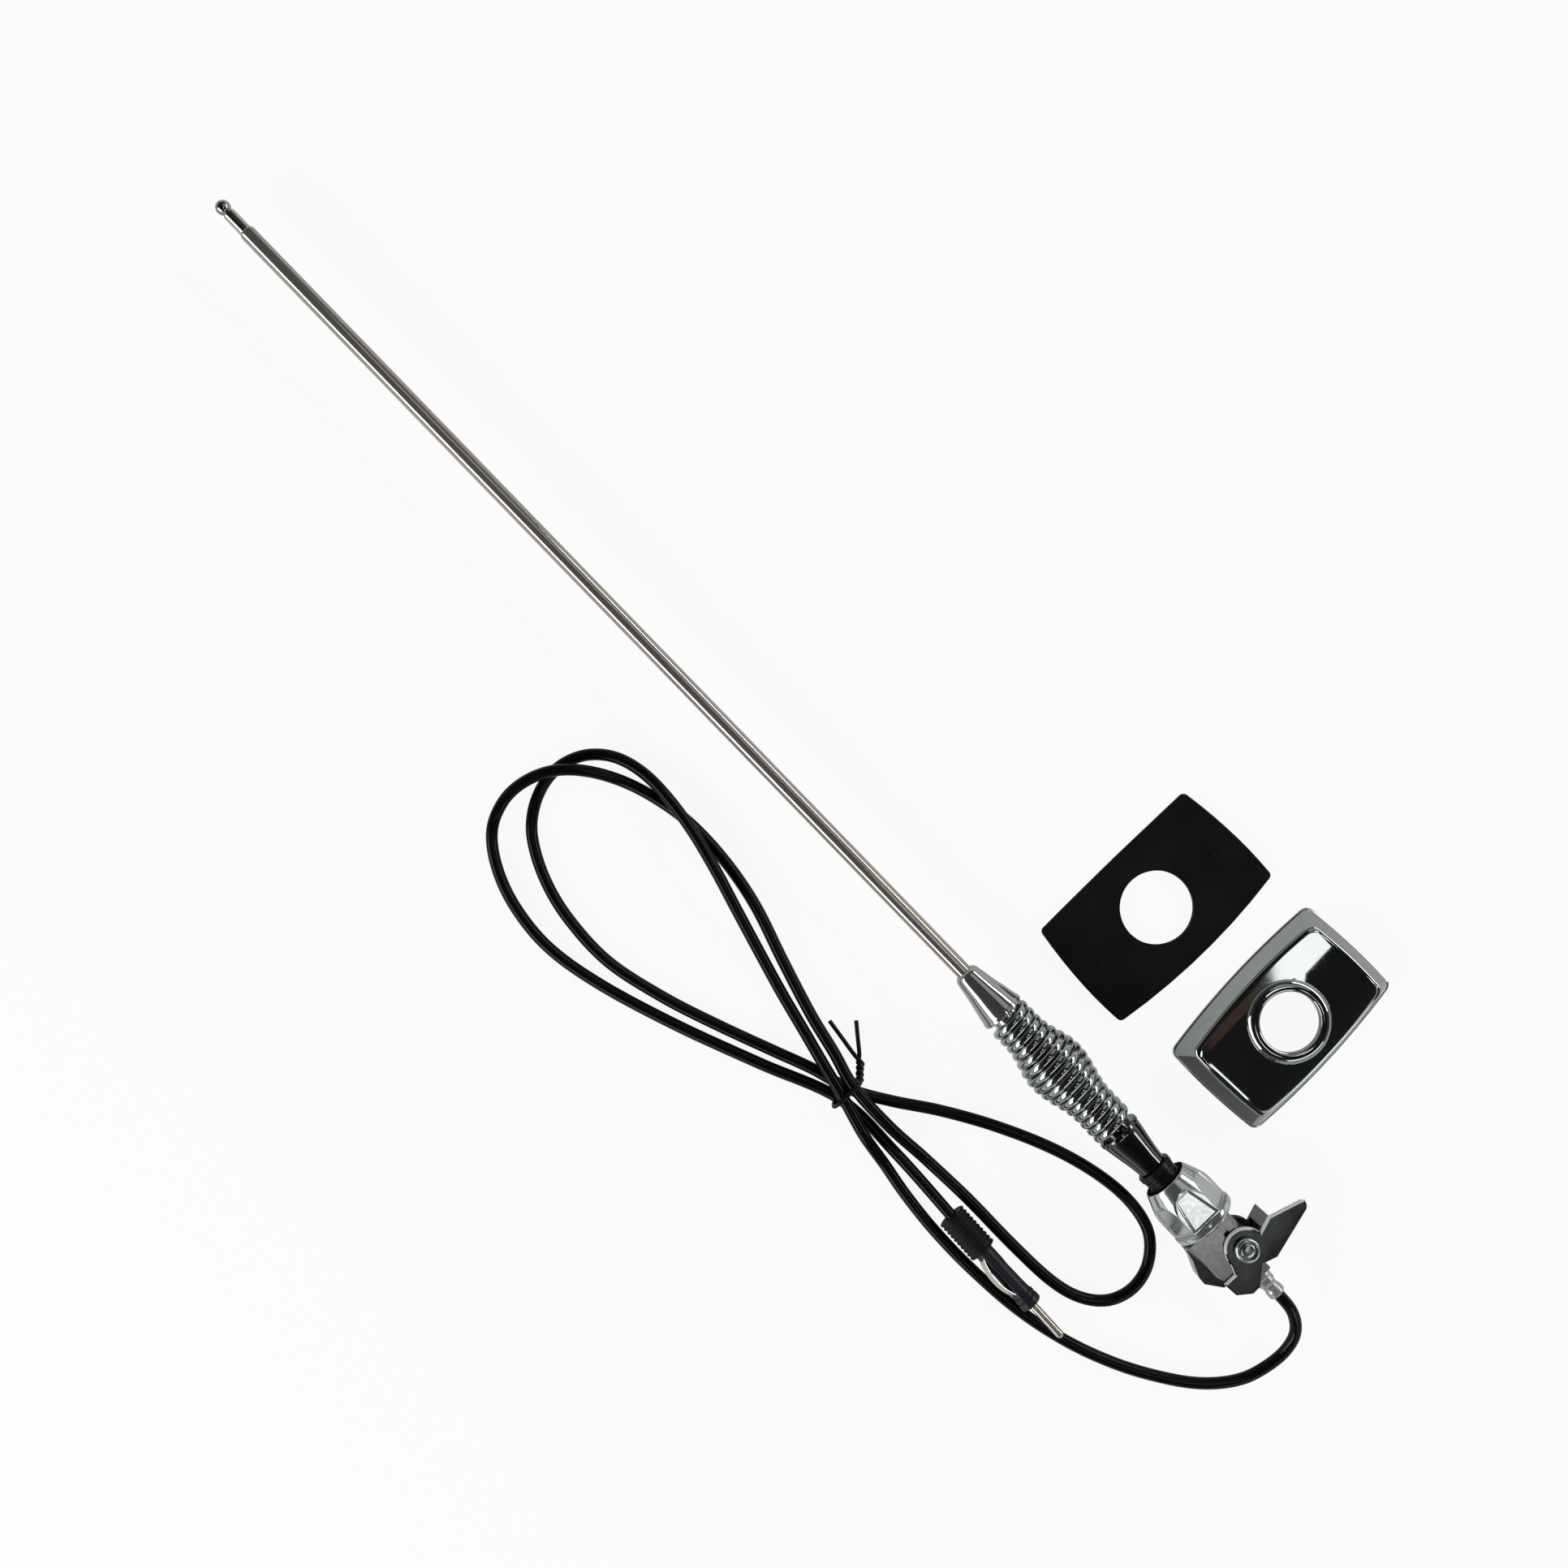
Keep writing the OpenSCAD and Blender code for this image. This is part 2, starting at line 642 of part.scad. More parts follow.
// Plan of the wing on the near cheek, which ends in a blunt point
module wing_plan() {
    tip = -claw_reach / claw_k;
    scale(claw_k) {
        polygon([
            [0.9, -7.8], [3, -14.3], [-0.6, tip + 1], [-4.6, tip + 1], [-10.1, -6.3], [-8, 0], [0, 0]
        ]);
        translate([-2.6, tip + 2]) circle(r = 2);
    }
}

// Plan of the far cheek's stub, as long as the web between the cheeks
module stub_plan() {
    tip = -claw_web_len / claw_k;
    scale(claw_k) polygon([
        [0.9, -7.8], [3, -14.3], [2.7, tip], [-3.4, tip], [-8, -6], [-8, 0], [0, 0]
    ]);
}

// Swinging claw: two cheeks and the web that bears on the bodywork
module claw() {
    tip = -claw_web_len / claw_k;
    web = claw_plate / claw_k;
    color([0.3, 0.31, 0.33])
    on_axis(-claw_at, -claw_side) difference() {
        union() {
            translate([0, 0, claw_inner]) linear_extrude(height = claw_plate) {
                claw_plan();
                wing_plan();
            }
            translate([0, 0, -claw_outer]) linear_extrude(height = claw_plate) {
                claw_plan();
                stub_plan();
            }
            translate([0, 0, -claw_inner - eps])
            linear_extrude(height = 2 * claw_inner + 2 * eps)
            scale(claw_k) polygon([
                [1.5, -9.7], [3, -14.3], [2.7, tip], [2.7 - web, tip], [1.5 - web, -10.1]
            ]);
        }
        translate([0, 0, -claw_outer - 1])
        cylinder(h = 2 * claw_outer + 2, d = screw_d + 4 * slide_gap);
    }
}

module claw_washers() {
    color("silver")
    on_axis(-claw_at, -claw_side)
    for (z = [neck_half + seat_gap, -neck_half - seat_gap - washer_t])
        translate([0, 0, z]) difference() {
            cylinder(h = washer_t, r = 5.6);
            translate([0, 0, -eps]) cylinder(h = washer_t + 2 * eps, d = screw_d + 2 * seat_gap);
        }
}

module claw_screw() {
    head_z = claw_outer + seat_gap;
    color("silver")
    on_axis(-claw_at, -claw_side) difference() {
        union() {
            translate([0, 0, -head_z - screw_head_h])
            cylinder(h = 2 * head_z + screw_head_h + 1, d = screw_d);
            translate([0, 0, head_z]) rotate_extrude() polygon([
                [0, 0], [screw_head_d / 2, 0], [screw_head_d / 2, screw_head_h * 0.45],
                [screw_head_d / 2 - 0.5, screw_head_h * 0.8], [screw_head_d / 2 - 1.4, screw_head_h],
                [0, screw_head_h]
            ]);
        }
        translate([0, 0, head_z + screw_head_h - 1.6]) cylinder(h = 3, r = 2.7, $fn = 6);
    }
}

module claw_nut() {
    color("silver")
    on_axis(-claw_at, -claw_side, -claw_outer - seat_gap - screw_head_h) difference() {
        cylinder(h = screw_head_h, r = screw_head_d / 2 - 0.8, $fn = 6);
        translate([0, 0, -eps]) cylinder(h = screw_head_h + 2 * eps, d = screw_d + seat_gap);
    }
}

// Crimped tube that holds the lead's screen to the casting
module crimp_ferrule() {
    r = crimp_d / 2;
    foot = crimp_foot;
    color("silver")
    on_axis(0, crimp_side) difference() {
        turned([
            [0, foot], [r - 1.1, foot], [r - 0.7, foot + 0.5], [r - 0.7, foot + 2.6],
            [r - 1.1, foot + 3.4], [r - 1.1, foot + 5.2], [r - 0.5, foot + 6.2],
            [r - 0.4, foot + 8.4], [r, foot + 9], [r, crimp_top], [0, crimp_top]
        ]);
        bar(foot - eps, crimp_top + eps, lead_d / 2 + seat_gap);
    }
}

// Free lead in a figure of eight, swept along its route
module lead() {
    color([0.07, 0.07, 0.08]) on_table() swept(lead_route, lead_d / 2, 8);
}

// Wire tie: a closed wrap round the strands and two twisted ends
module twist_tie() {
    r = tie_wire_d / 2;
    twists = 3;
    steps = 12;
    color([0.06, 0.06, 0.06])
    on_table() {
        translate([tie_at[0] - r, tie_at[1], tie_h / 2 + 0.05])
        rotate([90, 0, 90])
        linear_extrude(height = 2 * r)
        difference() {
            tie_wrap_outline(tie_w, tie_h);
            tie_wrap_outline(tie_w - 2 * tie_wall, tie_h - 2 * tie_wall);
        }
        for (half = [0, 180]) {
            stem = tie_fork - tie_stem;
            swept(concat(
                [
                    for (i = [0 : steps])
                        let (a = half + 360 * twists * i / steps / 2)
                            tie_stem + stem * i / steps + 0.55 * r * [cos(a), cos(a) / 2, sin(a)]
                ],
                [half == 0 ? tie_end_a : tie_end_b]
            ), r * 0.9, 6);
        }
    }
}

module tie_wrap_outline(w, h) {
    corner = 2.2;
    union() {
        square([w - 2 * corner, h], center = true);
        square([w, h - 2 * corner], center = true);
        for (x = [-1, 1], y = [-1, 1])
            translate([x * (w / 2 - corner), y * (h / 2 - corner)]) circle(r = corner, $fn = 24);
    }
}

// Puts children along the plug's own axis, from where the boot begins
module on_plug() {
    on_table(plug_at[0], plug_at[1])
    translate([0, 0, plug_at[2]])
    rotate([0, 0, plug_turn])
    rotate([180, -plug_tilt, 0])
    children();
}

module plug_boot() {
    r = boot_d / 2;
    rib = boot_len / (2 * boot_ribs + 1);
    color([0.1, 0.1, 0.1])
    on_plug() difference() {
        turned(concat(
            [[0, 0]],
            [
                for (k = [0 : boot_ribs])
                    for (p = [[r - 0.5, 0], [r, 0.25], [r, rib * 0.9], [r - 0.7, rib], [r - 0.7, 2 * rib]])
                        if (k < boot_ribs || p[1] <= rib) [p[0], min(p[1] + 2 * rib * k, boot_len)]
            ],
            [[0, boot_len]]
        ));
        bar(boot_len - 6, boot_len + eps, barrel_d / 2 - 0.6 + seat_gap);
        bar(-1, 1.2, lead_d / 2 + 0.2);
    }
}

module plug_barrel() {
    r = barrel_d / 2;
    top = boot_len + barrel_len;
    color([0.12, 0.12, 0.14])
    on_plug() difference() {
        turned([
            [0, boot_len - 5.5], [r - 0.6, boot_len - 5.5], [r - 0.6, boot_len + seat_gap],
            [r - 0.2, boot_len + seat_gap], [r, boot_len + 0.6], [r, boot_len + 7],
            [r - 0.2, boot_len + 10], [r, top - 3], [r + 0.2, top], [0, top]
        ]);
        bar(top - 8, top + eps, pin_root_r + seat_gap);
        rotate([-leaf_roll, 0, 0])
        translate([boot_len + 1.2, r - 0.9, -leaf_w / 2 - 0.1])
        cube([barrel_len, 2, leaf_w + 0.2]);
    }
}

module plug_collar() {
    r = plug_collar_d / 2;
    from = boot_len + barrel_len + seat_gap;
    color([0.1, 0.1, 0.12])
    on_plug() difference() {
        turned([
            [0, from], [r - 0.5, from], [r - 0.1, from + 0.4], [r - 0.1, from + 1.8],
            [r - 0.5, from + 2], [r - 0.5, from + 2.3], [r, from + 2.6],
            [r, from + plug_collar_len - 0.6], [r - 0.5, from + plug_collar_len],
            [0, from + plug_collar_len]
        ]);
        bar(from - eps, from + plug_collar_len + eps, pin_root_r + seat_gap);
    }
}

// Sprung earth contact: a thin strip bowed out from the barrel
module earth_leaf() {
    span = barrel_len - 3;
    thick = 0.35;
    bow_r = (span * span / 4 + leaf_bow * leaf_bow) / (2 * leaf_bow);
    color("silver")
    on_plug()
    rotate([-leaf_roll, 0, 0])
    translate([boot_len + 1.6 + span / 2, barrel_d / 2 - 0.5 + leaf_bow - bow_r, -leaf_w / 2])
    linear_extrude(height = leaf_w)
    intersection() {
        difference() {
            circle(r = bow_r, $fn = 160);
            circle(r = bow_r - thick, $fn = 160);
        }
        translate([-span / 2, bow_r - leaf_bow - thick]) square([span, 2 * leaf_bow + thick]);
    }
}

module plug_pin() {
    r = plug_pin_d / 2;
    foot = boot_len + barrel_len - 7.5;
    free = boot_len + barrel_len + plug_collar_len + seat_gap;
    tip = free + plug_pin_len;
    color("silver")
    on_plug() turned([
        [0, foot], [pin_root_r, foot], [pin_root_r, free], [r, free],
        [r, tip - 1.4], [r - 0.3, tip - 0.7], [r - 0.9, tip], [0, tip]
    ]);
}

// Chrome bezel: a hollow pillow with sloping sides and a ring round its hole
module bezel() {
    a = bezel_l / 2;
    b = bezel_w / 2;
    s = bezel_slope;
    e = bezel_end_slope;
    w = bezel_wall;
    ring_r = bezel_ring_d / 2;
    ring_sink = 1.4;
    ring_top = bezel_ring_h + ring_sink;
    color("gainsboro")
    on_table(bezel_at[0], bezel_at[1]) rotate([0, 0, 90 + bezel_turn]) difference() {
        union() {
            pillow([
                [0, a, b], [1.2, a - 0.1, b - 0.1], [bezel_h - 1.9, a - e + 0.2, b - s + 0.2],
                [bezel_h - 1.4, a - e - 0.1, b - s - 0.1], [bezel_h - 1.1, a - e - 0.6, b - s - 0.6],
                [bezel_h - 0.95, a - e - 1.4, b - s - 1.4], [bezel_h - 0.4, a - e - 6, b - s - 6],
                [bezel_h, a - e - 13, b - s - 13]
            ], bezel_corner, bezel_shape);
            translate([0, 0, bezel_h - ring_sink]) rotate_extrude() polygon([
                [0, 0], [ring_r, 0], [ring_r, ring_sink - 0.4], [ring_r - 0.4, ring_top * 0.5],
                [ring_r - 1.3, ring_top * 0.86], [ring_r - 2.4, ring_top],
                [bezel_hole_d / 2 + 0.9, ring_top], [bezel_hole_d / 2 + 0.3, ring_top - 0.3],
                [bezel_hole_d / 2 - 1, ring_top - 0.9], [0, ring_top - 0.9]
            ]);
        }
        pillow([
            [-eps, a - w, b - w], [bezel_h - w - 2, a - e - w + 0.6, b - s - w + 0.6],
            [bezel_h - w - 0.6, a - e - w - 1.4, b - s - w - 1.4]
        ], bezel_corner - w / 2, bezel_shape);
        translate([0, 0, -1]) cylinder(h = bezel_h + 4, d = bezel_hole_d);
    }
}

// Rubber gasket: a flat pad with bowed sides, a round hole and two moulded pips
module gasket() {
    a = gasket_l / 2;
    b = gasket_w / 2;
    color([0.12, 0.12, 0.12])
    on_table(gasket_at[0], gasket_at[1]) rotate([0, 0, 90]) {
        difference() {
            pillow([
                [0, a - 0.3, b - 0.3], [0.4, a, b], [gasket_t - 0.5, a, b], [gasket_t, a - 0.5, b - 0.5]
            ], gasket_corner, gasket_shape);
            translate([0, 0, -1]) cylinder(h = gasket_t + 2, d = gasket_hole_d);
        }
        for (x = [-1, 1])
            translate([x * (a - 11), 0, gasket_t - eps]) cylinder(h = pip_h, d = pip_d);
    }
}

tip_ball();
top_rod();
top_shoe();
mid_tube();
mid_shoe();
outer_tube();
upper_ferrule();
spring();
braid();
lower_ferrule();
insulator();
head_nut();
base_body();
contact_wire();
wire_sleeve();
claw();
claw_washers();
claw_screw();
claw_nut();
crimp_ferrule();
lead();
twist_tie();
plug_boot();
plug_barrel();
plug_collar();
earth_leaf();
plug_pin();
bezel();
gasket();
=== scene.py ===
# %% [markdown]
# # A car aerial, taken apart in Blender
# This scene dresses a telescopic car aerial that lies on a table: a mast, a barrel
# spring, a chromed head with its clamp, a tied lead with a plug, a bezel and a gasket.
# The solids come from CAD and stay where they are. Blender adds what a CAD solid
# lacks: rounded edges, smooth shading, and metal, rubber and plastic that look real.

# %% Load the frame
import json
import math

import bpy
import bmesh
from mathutils import Matrix, Vector

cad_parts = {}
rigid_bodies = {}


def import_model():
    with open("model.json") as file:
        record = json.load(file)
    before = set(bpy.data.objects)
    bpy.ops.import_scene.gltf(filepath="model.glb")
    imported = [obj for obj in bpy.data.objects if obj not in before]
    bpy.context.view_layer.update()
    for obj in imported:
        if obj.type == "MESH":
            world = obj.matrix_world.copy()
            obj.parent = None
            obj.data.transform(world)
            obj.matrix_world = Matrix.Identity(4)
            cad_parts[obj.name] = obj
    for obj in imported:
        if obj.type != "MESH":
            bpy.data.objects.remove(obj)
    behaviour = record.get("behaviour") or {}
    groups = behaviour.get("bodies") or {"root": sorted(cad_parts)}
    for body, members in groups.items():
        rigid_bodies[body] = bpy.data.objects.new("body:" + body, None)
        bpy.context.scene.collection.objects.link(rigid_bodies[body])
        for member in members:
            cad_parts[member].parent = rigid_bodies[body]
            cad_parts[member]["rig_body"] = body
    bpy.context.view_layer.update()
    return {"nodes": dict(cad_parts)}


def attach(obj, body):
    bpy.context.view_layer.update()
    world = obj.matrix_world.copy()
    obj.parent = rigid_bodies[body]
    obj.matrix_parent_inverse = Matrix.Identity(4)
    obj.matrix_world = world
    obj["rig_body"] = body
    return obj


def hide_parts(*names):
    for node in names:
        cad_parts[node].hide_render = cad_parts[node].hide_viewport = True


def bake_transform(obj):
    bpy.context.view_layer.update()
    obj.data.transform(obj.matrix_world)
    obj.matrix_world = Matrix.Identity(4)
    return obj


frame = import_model()

# %% [markdown]
# ## Two places that everything is measured from
# The mast is a straight line, so most pieces are turned about it. Its zero is the
# seat face, where the head meets the car's bodywork. The plug has a line of its own,
# a little turned and tilted, because it rests on its barrel and on its boot.
# A matrix for each line lets a piece be drawn in millimetres along X and then be
# put in its place once, in its mesh.

# %% The mast's line and the plug's line
MM = 0.001
AXIS_HEIGHT = 13
SEAT = Vector((-247.1, 48.6, AXIS_HEIGHT)) * MM


def line_at(x=0, y=0, z=0):
    """Millimetres from the seat face, on the mast's axis, as a matrix."""
    return Matrix.Translation(SEAT + Vector((x, y, z)) * MM) @ Matrix.Scale(MM, 4)


mast_line = line_at()
table_line = line_at(z=-AXIS_HEIGHT)
plug_line = (
    line_at(66.5, 67.7, 5.7 - AXIS_HEIGHT)
    @ Matrix.Rotation(math.radians(178.5), 4, "Z")
    @ Matrix.Rotation(math.radians(-1.8), 4, "Y")
    @ Matrix.Rotation(math.pi, 4, "X")
)
print("seat face at", [round(x, 4) for x in SEAT])

# %% [markdown]
# ## The camera
# The picture was taken from straight above, with the mast running from the lower
# right to the upper left. A camera matrix with the picture's right, up and back
# directions as its columns says that exactly, without any guess at angles. The lens
# follows from the camera's height and from what one pixel covers on the table.

# %% Camera
PICTURE_PIXELS, MM_PER_PIXEL, EYE_HEIGHT, SENSOR = 1932, 0.31, 660, 36
RIGHT = Vector((-0.696, -0.718, 0)).normalized()
UP = Vector((0.718, -0.696, 0)).normalized()
EYE = Vector((-19.2, 48, EYE_HEIGHT)) * MM
view_from = Matrix((RIGHT, UP, (0, 0, 1))).transposed().to_4x4()
view_from.translation = EYE
lens = bpy.data.cameras.new("overhead_lens")
lens.sensor_width = SENSOR
lens.lens = SENSOR * EYE_HEIGHT / (PICTURE_PIXELS * MM_PER_PIXEL)
lens.clip_start = 0.01
camera = bpy.data.objects.new("overhead_camera", lens)
camera.matrix_world = view_from
bpy.context.scene.collection.objects.link(camera)
bpy.context.scene.camera = camera
print("lens", round(lens.lens, 2), "mm")

# %% [markdown]
# ## The lead
# A coaxial lead keeps its length: it comes out of the crimp, crosses the table in a
# figure of eight, passes four times through the tie and ends in the plug. A curve
# with a round bevel is the right tool, because it can be measured along its middle.
# The handles of each point are a sixth of the way between its neighbours, which
# gives one smooth line through all points, and none of them dips into the table.
# The route is in millimetres: along the mast, across it, and over the table. Where
# two strands cross, one rises over the other by a little more than its thickness.

# %% The lead's route
LEAD_RADIUS, LEAD_LOWEST = 2.3, 2.4
LEAD_ROUTE = [
    (-26.5, -0.6, 13), (-38, -0.6, 13), (-47.5, 0.4, 11.2), (-55, 5, 8), (-58.6, 13, 5),
    (-58.5, 23, 3), (-55.5, 32.5, 2.4), (-48, 42.5, 2.4), (-37, 51.5, 2.4), (-20, 61.5, 2.4),
    (0, 69.5, 2.4), (22, 74.6, 2.4), (45, 76.6, 2.4), (65, 76.6, 2.4), (83, 75, 2.4),
    (98, 72.4, 4), (112, 70, 7.5), (128, 65.6, 8.1), (141, 62.5, 7.9), (154, 59.5, 4.2),
    (171, 55.5, 2.4), (189, 50.5, 3), (206, 45.5, 5.4), (223, 40.5, 7.2), (240, 36.5, 7.2),
    (256, 34.5, 6.6), (269, 35, 3.6), (280, 38.5, 2.4), (288, 45.5, 2.4), (292, 55, 2.4),
    (291.5, 65, 2.4), (287, 75, 2.4), (279, 83, 2.4), (265, 90, 2.4), (248, 94, 2.4),
    (226, 94.5, 2.4), (202, 89, 2.4), (180, 81.5, 2.4), (158, 73, 2.6), (143, 67, 3.4),
    (127, 62, 3.5), (113, 54, 2.8), (97, 43, 2.4), (78, 32, 2.4), (57, 22.5, 2.4),
    (38, 17, 2.4), (22, 15.5, 2.4), (9, 18.5, 2.4), (0.5, 27, 2.4), (-2.2, 37.5, 2.4),
    (1, 47.5, 2.4), (9.5, 54.5, 2.4), (22, 58, 2.4), (42, 59, 2.4), (66, 59, 2.4),
    (88, 60, 2.6), (107, 61, 6.1), (127, 60.2, 8.1), (142, 56.5, 6.4), (158, 53, 3.4),
    (180, 46.5, 2.4), (202, 39.5, 2.4), (222, 36, 2.4), (242, 35.5, 2.4), (259, 38.5, 2.4),
    (273, 43.5, 3.2), (284.5, 50.5, 6.2), (292.5, 59, 7.2), (297, 69.5, 5.4), (297.5, 80.5, 2.8),
    (292.5, 91.5, 2.4), (281, 100, 2.4), (265, 105.5, 2.4), (245, 107, 2.4), (221, 102.5, 2.4),
    (190, 92.5, 2.4), (158, 80, 2.6), (127, 67.4, 3.4), (97, 66.6, 2.6), (65.6, 67.7, 5.7),
]
print("lead route of", len(LEAD_ROUTE), "points")

# %% Draw the lead
def smooth_curve(name, points, radius, place, sides, lowest):
    """A round bar along one smooth line through points that stays over a lowest height."""
    data = bpy.data.curves.new(name, "CURVE")
    data.dimensions = "3D"
    data.bevel_depth = 1  # times each point's radius, so that the curve's box stays tight
    data.bevel_resolution = sides // 2 - 2
    data.resolution_u = 8
    data.use_fill_caps = True
    spline = data.splines.new("BEZIER")
    spline.bezier_points.add(len(points) - 1)
    places = [Vector(p) for p in points]
    for i, (knot, p) in enumerate(zip(spline.bezier_points, places)):
        along = (places[min(i + 1, len(points) - 1)] - places[max(i - 1, 0)]) / 6
        before, after = p - along, p + along
        before.z, after.z = max(before.z, lowest), max(after.z, lowest)
        knot.radius = radius * MM
        knot.handle_left_type = knot.handle_right_type = "FREE"
        knot.handle_left, knot.co, knot.handle_right = place @ before, place @ p, place @ after
    piece = bpy.data.objects.new(name, data)
    bpy.context.scene.collection.objects.link(piece)
    return piece


lead = smooth_curve("lead_sheath", LEAD_ROUTE, LEAD_RADIUS, table_line, 16, LEAD_LOWEST)
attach(lead, "base")
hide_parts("lead")
print("lead drawn, radius", LEAD_RADIUS, "mm")

# %% [markdown]
# ## The studio
# Chrome has no colour of its own and shows only what stands round it. From above it
# mirrors the ceiling, so a dark ceiling with bright walls gives black middles and
# white edges. A room photograph could light it too, but a ramp from the horizon up
# needs no file and can be set by hand.

# %% Helpers for nodes
def node_tree(owner):
    """The emptied nodes and the links of a material or world."""
    owner.use_nodes = True
    owner.node_tree.nodes.clear()
    return owner.node_tree.nodes, owner.node_tree.links


def ramp(nodes, stops, interpolation="LINEAR"):
    """A Color Ramp with the given (place, grey or colour) stops."""
    made = nodes.new("ShaderNodeValToRGB")
    made.color_ramp.interpolation = interpolation
    while len(made.color_ramp.elements) < len(stops):
        made.color_ramp.elements.new(0.5)
    for element, (place, colour) in zip(made.color_ramp.elements, stops):
        element.position = place
        grey = isinstance(colour, (int, float))
        element.color = (colour, colour, colour, 1) if grey else (*colour, 1)
    return made


# %% Ceiling and walls
FROM_HORIZON_UP = [(0, 0.9), (0.1, 0.6), (0.28, 0.2), (0.5, 0.06), (1, 0.015)]
room = bpy.data.worlds.new("dark_ceiling_room")
bpy.context.scene.world = room
nodes, links = node_tree(room)
direction = nodes.new("ShaderNodeTexCoord")
split = nodes.new("ShaderNodeSeparateXYZ")
height = ramp(nodes, FROM_HORIZON_UP, "EASE")
sky = nodes.new("ShaderNodeBackground")
out = nodes.new("ShaderNodeOutputWorld")
links.new(direction.outputs["Generated"], split.inputs[0])
links.new(split.outputs["Z"], height.inputs["Fac"])
links.new(height.outputs["Color"], sky.inputs["Color"])
links.new(sky.outputs[0], out.inputs[0])
print("ceiling and walls in", len(FROM_HORIZON_UP), "steps")

# %% [markdown]
# The table is white. A bare white floor renders grey where lamps are weak, so the
# camera sees it mostly as a plain white glow, and mirrors see a part of that glow. The
# rest of the mix is a matt coat, which keeps the object's shadow.

# %% Table
TABLE_HALF, SEEN_SHARE, MIRRORED_SHARE = 4, 0.92, 0.3
bm = bmesh.new()
bmesh.ops.create_grid(bm, x_segments=1, y_segments=1, size=TABLE_HALF)
floor_mesh = bpy.data.meshes.new("white_table")
bm.to_mesh(floor_mesh)
bm.free()
table = bpy.data.objects.new("white_table", floor_mesh)
bpy.context.scene.collection.objects.link(table)
table_paint = bpy.data.materials.new("white_table")
nodes, links = node_tree(table_paint)
coat = nodes.new("ShaderNodeBsdfPrincipled")
coat.inputs["Base Color"].default_value = (0.94, 0.94, 0.94, 1)
coat.inputs["Roughness"].default_value = 0.9
coat.inputs["Specular IOR Level"].default_value = 0.1
white = nodes.new("ShaderNodeEmission")
ray = nodes.new("ShaderNodeLightPath")
seen, mirrored, share = (nodes.new("ShaderNodeMath") for _ in range(3))
seen.operation = "MULTIPLY"
seen.inputs[1].default_value = SEEN_SHARE
mirrored.use_clamp = True
share.operation = "MULTIPLY_ADD"
share.inputs[1].default_value = MIRRORED_SHARE
links.new(ray.outputs["Is Camera Ray"], seen.inputs[0])
links.new(ray.outputs["Is Glossy Ray"], mirrored.inputs[0])
links.new(ray.outputs["Is Transmission Ray"], mirrored.inputs[1])
links.new(mirrored.outputs[0], share.inputs[0])
links.new(seen.outputs[0], share.inputs[2])
blend = nodes.new("ShaderNodeMixShader")
links.new(share.outputs[0], blend.inputs["Fac"])
links.new(coat.outputs[0], blend.inputs[1])
links.new(white.outputs[0], blend.inputs[2])
out = nodes.new("ShaderNodeOutputMaterial")
links.new(blend.outputs[0], out.inputs[0])
floor_mesh.materials.append(table_paint)
print("table of", 2 * TABLE_HALF, "m")

# %% [markdown]
# ## The lamps
# Long soft boxes at the sides draw the white streaks along tubes and coils. The small
# ones overhead hang just where the flats of the head, the claw and the bezel mirror
# them for the camera: a flat mirror is either black or bright, and which of the two is
# decided by the place of one lamp.

# %% Lamps
def soft_box(name, place, aim, width, depth, power, colour=(1, 1, 1)):
    """A rectangular lamp at a place, turned to a point, with sizes in metres."""
    lamp = bpy.data.lights.new(name, "AREA")
    lamp.shape = "RECTANGLE"
    lamp.color = colour
    lamp.size, lamp.size_y, lamp.energy = width, depth, power
    box = bpy.data.objects.new(name, lamp)
    bpy.context.scene.collection.objects.link(box)
    box.location = place
    box.rotation_euler = (Vector(aim) - Vector(place)).to_track_quat("-Z", "Y").to_euler()


MIDDLE = (-0.02, 0.03, 0)
soft_box("window", (0.15, 1.15, 0.6), MIDDLE, 1.5, 0.45, 12.0)
soft_box("far_window", (-0.3, -1.1, 0.55), MIDDLE, 1.4, 0.2, 7.0)
soft_box("end_wall", (-1.25, 0.1, 0.65), MIDDLE, 0.9, 0.3, 2.0)
soft_box("over_head", (-0.67, 0.05, 1.6), (-0.67, 0.05, 0), 0.32, 0.14, 0.42)
soft_box("over_bezel", (-0.39, -0.29, 1.6), (-0.39, -0.29, 0), 0.38, 0.16, 0.5)
soft_box("warm_panel", (-0.3, -0.14, 1.6), (-0.3, -0.14, 0), 0.16, 0.1, 0.004, (1, 0.6, 0.42))
soft_box("grey_panel", (0.15, -0.75, 1.2), (0.05, 0.05, 0), 1.2, 0.6, 1.1)
bpy.context.scene.view_settings.view_transform = "Standard"
print("studio ready")

# %% [markdown]
# ## Finishes
# Each finish is one material with the detail that the real surface has: fine
# smudges and rub marks on chrome, drawing lines along the tubes, a mottled skin on
# castings, a matt grain on rubber. One recipe serves them all: a base colour that
# varies a little, a roughness that varies more, and a small bump where a depth is given.
# Lengths in a pattern are in metres, so a grain of 900 has about one spot a millimetre.

